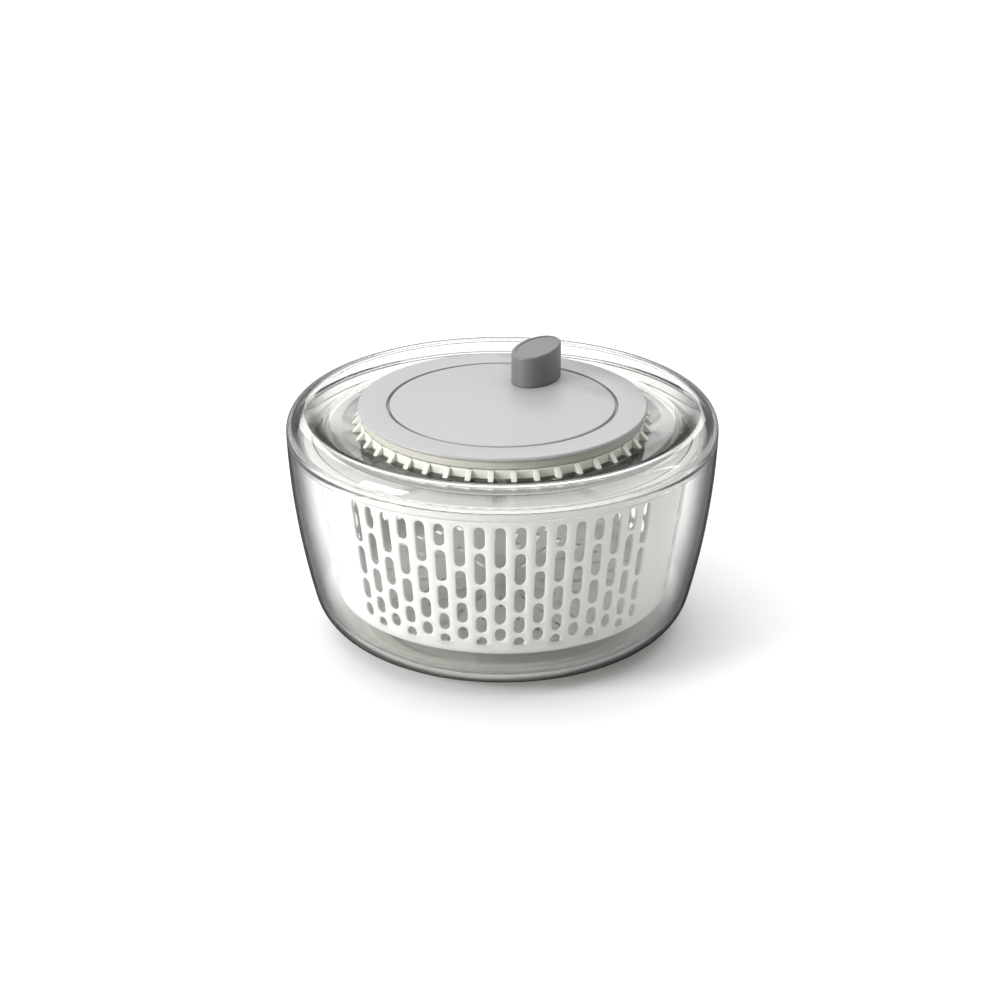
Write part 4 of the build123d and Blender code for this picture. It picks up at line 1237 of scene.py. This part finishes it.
@dataclass
class Basket:
    """The white basket, with groups of slotted columns round its wall and drains in its floor."""

    shop: Workshop
    wall: float = 2.0 * MM
    taper: float = 0.142
    fillet: float = 9.0 * MM
    flange_reach: float = 3.5 * MM
    flange: float = 2.2 * MM
    hub_radius: float = 9.0 * MM
    hub_height: float = 15.4 * MM
    hub_wall: float = 2.44 * MM
    hub_edge: float = 1.2 * MM
    hub_blend: float = 0.8 * MM
    heel_spans: int = 9
    sharp_degrees: float = 50.0
    columns: int = 60
    panels: int = 3
    panel_columns: int = 17
    panel_turn: float = -0.6
    slot_width: float = 6.3 * MM
    slot_gap: float = 2.6 * MM
    slot_drop: float = 11.0 * MM
    long_first: tuple[float, ...] = (27.2 * MM, 19.1 * MM, 13.9 * MM, 8.9 * MM)
    short_first: tuple[float, ...] = (14.8 * MM, 21.2 * MM, 16.3 * MM, 11.4 * MM, 6.7 * MM)
    drain_width: float = 4.0 * MM
    drains: tuple[tuple[float, int, float], ...] = (
        (30.0 * MM, 12, 16.0 * MM),
        (50.0 * MM, 18, 14.0 * MM),
        (68.0 * MM, 30, 12.0 * MM),
        (84.0 * MM, 36, 10.0 * MM),
    )
    end_steps: int = 4
    bevel: float = 0.35 * MM

    def __post_init__(self) -> None:
        """Reads the basket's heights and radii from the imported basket."""
        self.bottom = low("basket").z
        self.top = high("basket").z
        self.flange_radius = high("basket").x
        self.radius = self.flange_radius - self.flange_reach
        self.pitch = 360 / self.columns
        self.wall_low = self.bottom + self.fillet

    def wall_point(self, across: float, height: float, depth: float) -> Vector:
        """A point of the wall near the -Y side.

        Args:
            across: distance to the side, measured along the wall.
            height: height above the table.
            depth: distance in from the outer skin.

        Returns:
            The point.
        """
        skin = self.radius - self.taper * (self.top - height)
        turn = across / skin
        reach = skin - depth
        return Vector((reach * math.sin(turn), -reach * math.cos(turn), height))

    def slot_ring(self, centre: float, length: float, inset: float) -> list[tuple[float, float]]:
        """The outline of one rounded slot, starting at its right side and going up.

        Args:
            centre: height of the slot's middle.
            length: full length of the slot.
            inset: how far the outline is moved outwards from the slot's edge.

        Returns:
            Points as (across, height).
        """
        radius = self.slot_width / 2 + inset
        straight = length / 2 - self.slot_width / 2
        ring: list[tuple[float, float]] = []
        for side in (1, -1):
            for step in range(self.end_steps + 1):
                turn = math.pi * step / self.end_steps + (0.0 if side == 1 else math.pi)
                ring.append((radius * math.cos(turn), centre + side * straight + radius * math.sin(turn)))
        return ring

    def tile_ring(self, lower: float, upper: float) -> list[tuple[float, float]]:
        """The border of the tile round one slot, with one point for each point of the slot's outline.

        Args:
            lower: height of the tile's lower edge.
            upper: height of the tile's upper edge.

        Returns:
            Points as (share of half the pitch, height).
        """
        ring: list[tuple[float, float]] = []
        steps = self.end_steps
        for side, level in ((1, upper), (-1, lower)):
            shares = [side * (1 - 2 * step / (steps - 2)) for step in range(steps - 1)]
            ring.append((float(side), (upper + lower) / 2 + side * (upper - lower) / 6))
            ring += [(share, level) for share in shares]
            ring.append((float(-side), (upper + lower) / 2 + side * (upper - lower) / 6))
        return ring

    def tile_point(self, share: float, height: float, depth: float) -> Vector:
        """A point on a tile's border, which lies on the joint between two columns.

        Args:
            share: -1 on the left joint, 1 on the right one.
            height: height above the table.
            depth: distance in from the outer skin.

        Returns:
            The point.
        """
        skin = self.radius - self.taper * (self.top - height)
        return self.wall_point(share * skin * math.radians(self.pitch / 2), height, depth)

    def plain_tile(self, bm: bmesh.types.BMesh, lower: float, upper: float) -> None:
        """Adds a stretch of plain wall, both skins, one column wide.

        Args:
            bm: the mesh that gets it.
            lower: height of its lower edge.
            upper: height of its upper edge.
        """
        for depth in (0.0, self.wall):
            made = [
                [bm.verts.new(self.tile_point(share, z, depth)) for share in (-1, -0.5, 0, 0.5, 1)]
                for z in (lower, upper)
            ]
            for index in range(4):
                corners = [made[0][index], made[0][index + 1], made[1][index + 1], made[1][index]]
                bm.faces.new(corners if depth == 0.0 else corners[::-1])

    def slot_tile(
        self, bm: bmesh.types.BMesh, lower: float, upper: float, centre: float, length: float
    ) -> None:
        """Adds a stretch of wall with one slot through it.

        Args:
            bm: the mesh that gets it.
            lower: height of its lower edge.
            upper: height of its upper edge.
            centre: height of the slot's middle.
            length: full length of the slot.
        """
        border = self.tile_ring(lower, upper)
        rings = [[self.tile_point(share, z, 0.0) for share, z in border]]
        for inset, depth in (
            (self.bevel, 0.0),
            (0.0, self.bevel),
            (0.0, self.wall - self.bevel),
            (self.bevel, self.wall),
        ):
            outline = self.slot_ring(centre, length, inset)
            rings.append([self.wall_point(across, z, depth) for across, z in outline])
        rings.append([self.tile_point(share, z, self.wall) for share, z in border])
        skin_rings(bm, rings, closed=False)

    def column(self, name: str, lengths: Sequence[float]) -> bpy.types.Object:
        """One column of the wall, on the -Y side.

        Args:
            name: name of the new object.
            lengths: lengths of its slots from the top down; none for a plain column.

        Returns:
            The column, open along its two joints and at its top and bottom.
        """
        bm = bmesh.new()
        upper = self.top - self.flange
        for index, length in enumerate(lengths):
            slot_top = self.top - self.slot_drop - sum(lengths[:index]) - self.slot_gap * index
            if index == 0:
                self.plain_tile(bm, slot_top + self.slot_gap / 2, upper)
                upper = slot_top + self.slot_gap / 2
            lower = slot_top - length - self.slot_gap / 2
            self.slot_tile(bm, lower, upper, slot_top - length / 2, length)
            upper = lower
        self.plain_tile(bm, self.wall_low, upper)
        bmesh.ops.remove_doubles(bm, verts=bm.verts, dist=WELD)
        return plain_object(name, bm)

    def ends(self) -> bpy.types.Object:
        """The rim flange and the rounded floor, as open skins that meet the wall.

        Returns:
            The two skins in one object.
        """
        segments = self.columns * 4
        flange_low = self.top - self.flange
        edge = self.flange / 3
        lower_radius = self.radius - self.taper * self.flange
        rim = [
            (lower_radius, flange_low), (self.flange_radius - edge, flange_low),
            (self.flange_radius, flange_low + edge), (self.flange_radius, self.top - edge),
            (self.flange_radius - edge, self.top), (self.radius - self.wall, self.top),
            (lower_radius - self.wall, flange_low),
        ]
        flange = lathe("flange_shape", rim, segments, closed=True)
        heel_out = self.radius - self.taper * (self.top - self.wall_low)
        centre = (heel_out - self.fillet, self.wall_low)
        outer = arc(centre, self.fillet, 0.0, -90.0, self.heel_spans)
        inner = arc(centre, self.fillet - self.wall, -90.0, 0.0, self.heel_spans)
        hub = self.bottom + self.hub_height
        bore = self.hub_radius - self.hub_wall
        base = outer + [(bore, self.bottom), (bore, hub - self.wall), (0.0, hub - self.wall), (0.0, hub)]
        base += [(self.hub_radius - self.hub_edge, hub), (self.hub_radius, hub - self.hub_edge)]
        base += [(self.hub_radius, self.bottom + self.wall + self.hub_blend)]
        base += [(self.hub_radius + self.hub_blend, self.bottom + self.wall)] + inner
        floor = lathe("floor_shape", base, segments, closed=True)
        span = (self.bottom - self.wall, self.bottom + 2 * self.wall)
        for radius, count, length in self.drains:
            drain = slot_cutter("drain_shape", radius, length, self.drain_width, span)
            self.shop.holes(
                floor, drain, "white_basket", count=count, step=360 / count, start=self.panel_turn
            )
        return join("ends_shape", [flange, floor])

    def build(self) -> bpy.types.Object:
        """Builds the basket.

        Returns:
            The finished basket.
        """
        piece = self.ends()
        long_column = self.column("long_column_shape", self.long_first)
        short_column = self.column("short_column_shape", self.short_first)
        plain_column = self.column("plain_column_shape", ())
        first = self.panel_turn - (self.panel_columns - 1) / 2 * self.pitch
        long_count = (self.panel_columns + 1) // 2
        short_count = self.panel_columns // 2
        plain_count = self.columns // self.panels - self.panel_columns
        panel_step = 360 / self.panels
        for shape, count, step, start in (
            (long_column, long_count, 2 * self.pitch, first),
            (short_column, short_count, 2 * self.pitch, first + self.pitch),
            (plain_column, plain_count, self.pitch, first + self.panel_columns * self.pitch),
        ):
            self.shop.copies(piece, shape, "white_basket", count=count, step=step, start=start,
                             groups=self.panels, group_step=panel_step)
        bm = bmesh.new()
        bm.from_mesh(piece.data)
        bpy.data.objects.remove(piece)
        smooth = mesh_object("basket_white", bm, self.sharp_degrees)
        return self.shop.settle(smooth, Body.BASKET, "white_basket", ["basket"])


# ---------------------------------------------------------------------------- drive plate


@dataclass
class DrivePlate:
    """The white plate under the lid that takes the basket round with it."""

    shop: Workshop
    thickness: float = 2.0 * MM
    lip: float = 5.0 * MM
    lip_inset: float = 1.0 * MM
    hub_radius: float = 12.0 * MM
    screw_radius: float = 2.2 * MM
    spindle_radius: float = 6.0 * MM
    edge: float = 0.4 * MM
    tabs: int = 6
    tab_width: float = 9.0 * MM
    tab_reach: float = 3.6 * MM
    tab_root: float = 1.0 * MM
    tab_round: float = 1.2 * MM
    vents: int = 12
    vent_circle: float = 62.0 * MM
    vent_length: float = 46.0 * MM
    vent_width: float = 5.0 * MM
    turn: float = -0.6
    top: float = 121.3 * MM
    radius: float = 112.5 * MM
    segments: int = 192

    def tab(self) -> bpy.types.Object:
        """One driving tab, on the +X side.

        Returns:
            The tab.
        """
        half = self.tab_width / 2
        inner = self.radius - self.tab_root
        outer = self.radius + self.tab_reach
        bottom = self.top - self.thickness
        plan = round_corners([
            (inner, -half, 0.0), (outer, -half, self.tab_round),
            (outer, half, self.tab_round), (inner, half, 0.0),
        ], 3)
        middle = (inner + outer) / 2
        narrow = 1 - self.edge / half
        levels = (bottom, narrow), (bottom + self.edge, 1.0), (self.top - self.edge, 1.0), (self.top, narrow)
        rings = [
            [Vector((middle + (x - middle) * share, y * share, z)) for x, y in plan] for z, share in levels
        ]
        return capped("tab_shape", rings, *(Vector((middle, 0.0, z)) for z in (bottom, self.top)))

    def build(self) -> bpy.types.Object:
        """Builds the plate.

        Returns:
            The finished plate.
        """
        bottom = self.top - self.thickness
        edge = self.edge
        lip_out = self.radius - self.lip_inset
        hub_low, hub_high = low("drive_plate").z, high("drive_plate").z
        hub_seat = hub_low + (hub_high - hub_low) / 2
        outline = round_corners([
            (self.screw_radius, hub_low, 0.0),
            (self.hub_radius, hub_low, edge),
            (self.hub_radius, bottom, edge),
            (lip_out - self.thickness, bottom, edge),
            (lip_out - self.thickness, bottom - self.lip, edge),
            (lip_out, bottom - self.lip, edge),
            (lip_out, bottom, edge),
            (self.radius, bottom, edge),
            (self.radius, self.top, edge),
            (self.hub_radius, self.top, edge),
            (self.hub_radius, hub_high, edge),
            (self.spindle_radius, hub_high, 0.0),
            (self.spindle_radius, hub_seat, 0.0),
            (self.screw_radius, hub_seat, 0.0),
        ])
        piece = lathe("drive_plate_white", outline, self.segments)
        span = (self.top - 2 * self.thickness, self.top + self.thickness)
        vent = slot_cutter("vent_shape", self.vent_circle, self.vent_length, self.vent_width, span)
        for work, shape, count in (
            (self.shop.holes, vent, self.vents),
            (self.shop.copies, self.tab(), self.tabs),
        ):
            work(piece, shape, "white_plate", count=count, step=360 / count, start=self.turn)
        return self.shop.settle(piece, Body.DRIVE, "white_plate", ["drive_plate"])


# ---------------------------------------------------------------------------- pieces kept from the model


@dataclass
class KeptPieces:
    """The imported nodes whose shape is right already: they only get their finish."""

    shop: Workshop
    replaced: Sequence[str]

    def dress(self) -> None:
        """Gives each kept node the finish of its slot and smooths it."""
        slots = {row["node"]: row["material_slot"] for row in frame["record"]["subparts"]}
        kept = [name for name in frame["nodes"] if name not in self.replaced]
        for name in kept:
            node = frame["nodes"][name]
            node.data.materials.clear()
            node.data.materials.append(self.shop.wardrobe.get(slots[name]))
            LOG.info("%s keeps its shape in %s", name, slots[name])
        smooth_cad_nodes(kept)


# ---------------------------------------------------------------------------- studio


@dataclass
class Studio:
    """The pale table, the soft lights and the camera."""

    distance: float = 1600.0 * MM
    elevation: float = 23.84
    aim_height: float = 70.0 * MM
    lens: float = 94.25
    shift: tuple[float, float] = (-0.0024, 0.0113)
    surround: float = 0.25
    floor_size: float = 14.0
    lamps: tuple[tuple[str, Colour, tuple[float, float], float], ...] = (
        ("overhead", (0.0, 0.5, 3.0), (5.0, 4.0), 120.0),
        ("window_left", (-1.8, -0.9, 0.75), (0.9, 0.9), 44.0),
        ("window_back", (-0.2, 2.6, 1.8), (3.0, 1.2), 26.0),
        ("strip_right", (1.7, 0.3, 1.0), (0.15, 1.2), 2.0),
    )

    def camera(self) -> None:
        """Makes the camera, looking along +Y and down."""
        data = bpy.data.cameras.new("camera")
        data.lens = self.lens
        data.sensor_width = 36.0
        data.shift_x, data.shift_y = self.shift
        eye = bpy.data.objects.new("camera", data)
        lift = math.radians(self.elevation)
        back = Vector((0.0, -math.cos(lift), math.sin(lift)))
        eye.location = Vector((0.0, 0.0, self.aim_height)) + back * self.distance
        eye.rotation_euler = (math.pi / 2 - lift, 0.0, 0.0)
        bpy.context.scene.collection.objects.link(eye)
        bpy.context.scene.camera = eye

    def floor(self) -> None:
        """Lays the pale floor."""
        bm = bmesh.new()
        bmesh.ops.create_grid(bm, x_segments=8, y_segments=8, size=self.floor_size / 2)
        piece = mesh_object("floor", bm)
        material = bpy.data.materials.new("Pale floor")
        material.use_nodes = True
        shader = material.node_tree.nodes["Principled BSDF"]
        shader.inputs["Roughness"].default_value = 0.9
        shader.inputs["Specular IOR Level"].default_value = 0.1
        shade = Shade(material.node_tree)
        place = shade.add("TexCoord", {}).outputs["Object"]
        noise = shade.add("TexNoise", {"Vector": place, "Scale": 3.0})
        tone = shade.mix(noise.outputs[0], (0.93, 0.93, 0.93), (0.95, 0.95, 0.95))
        shade.tree.links.new(tone, shader.inputs["Base Color"])
        piece.data.materials.append(material)

    def lamp(self, name: str, place: Colour, size: tuple[float, float], power: float) -> None:
        """Hangs one soft box that faces the middle of the table.

        Args:
            name: name of the lamp.
            place: where it hangs.
            size: width and height of the soft box.
            power: its power in watts.
        """
        data = bpy.data.lights.new(name, "AREA")
        data.shape = "RECTANGLE"
        data.size, data.size_y = size
        data.energy = power
        box = bpy.data.objects.new(name, data)
        box.location = place
        aim = Vector((0.0, 0.0, self.aim_height)) - Vector(place)
        box.rotation_euler = aim.to_track_quat("-Z", "Y").to_euler()
        bpy.context.scene.collection.objects.link(box)

    def lights(self) -> None:
        """Hangs the soft boxes and sets the grey of the room."""
        world = bpy.data.worlds.new("room")
        world.use_nodes = True
        shade = world.node_tree.nodes["Background"]
        shade.inputs["Color"].default_value = (1.0, 1.0, 1.0, 1.0)
        shade.inputs["Strength"].default_value = self.surround
        bpy.context.scene.world = world
        for lamp in self.lamps:
            self.lamp(*lamp)

    def build(self) -> None:
        """Sets up the whole studio."""
        bpy.context.scene.view_settings.view_transform = "Standard"
        self.camera()
        self.floor()
        self.lights()
        LOG.info("studio is set")


# ---------------------------------------------------------------------------- making it all


def main() -> None:
    """Builds every sub-assembly in order and reports each piece."""
    logging.basicConfig(level=logging.INFO, format="%(name)s: %(message)s")
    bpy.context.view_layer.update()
    studio = Studio()
    studio.build()
    shop = Workshop()
    for assembly in (Bowl(shop), Basket(shop), DrivePlate(shop), Lid(shop), RibRing(shop)):
        piece = assembly.build()
        LOG.info("%s has %d faces", piece.name, len(piece.data.polygons))
    KeptPieces(shop, ("bowl", "basket", "drive_plate", "lid", "rib_ring")).dress()


if __name__ == "__main__":
    main()
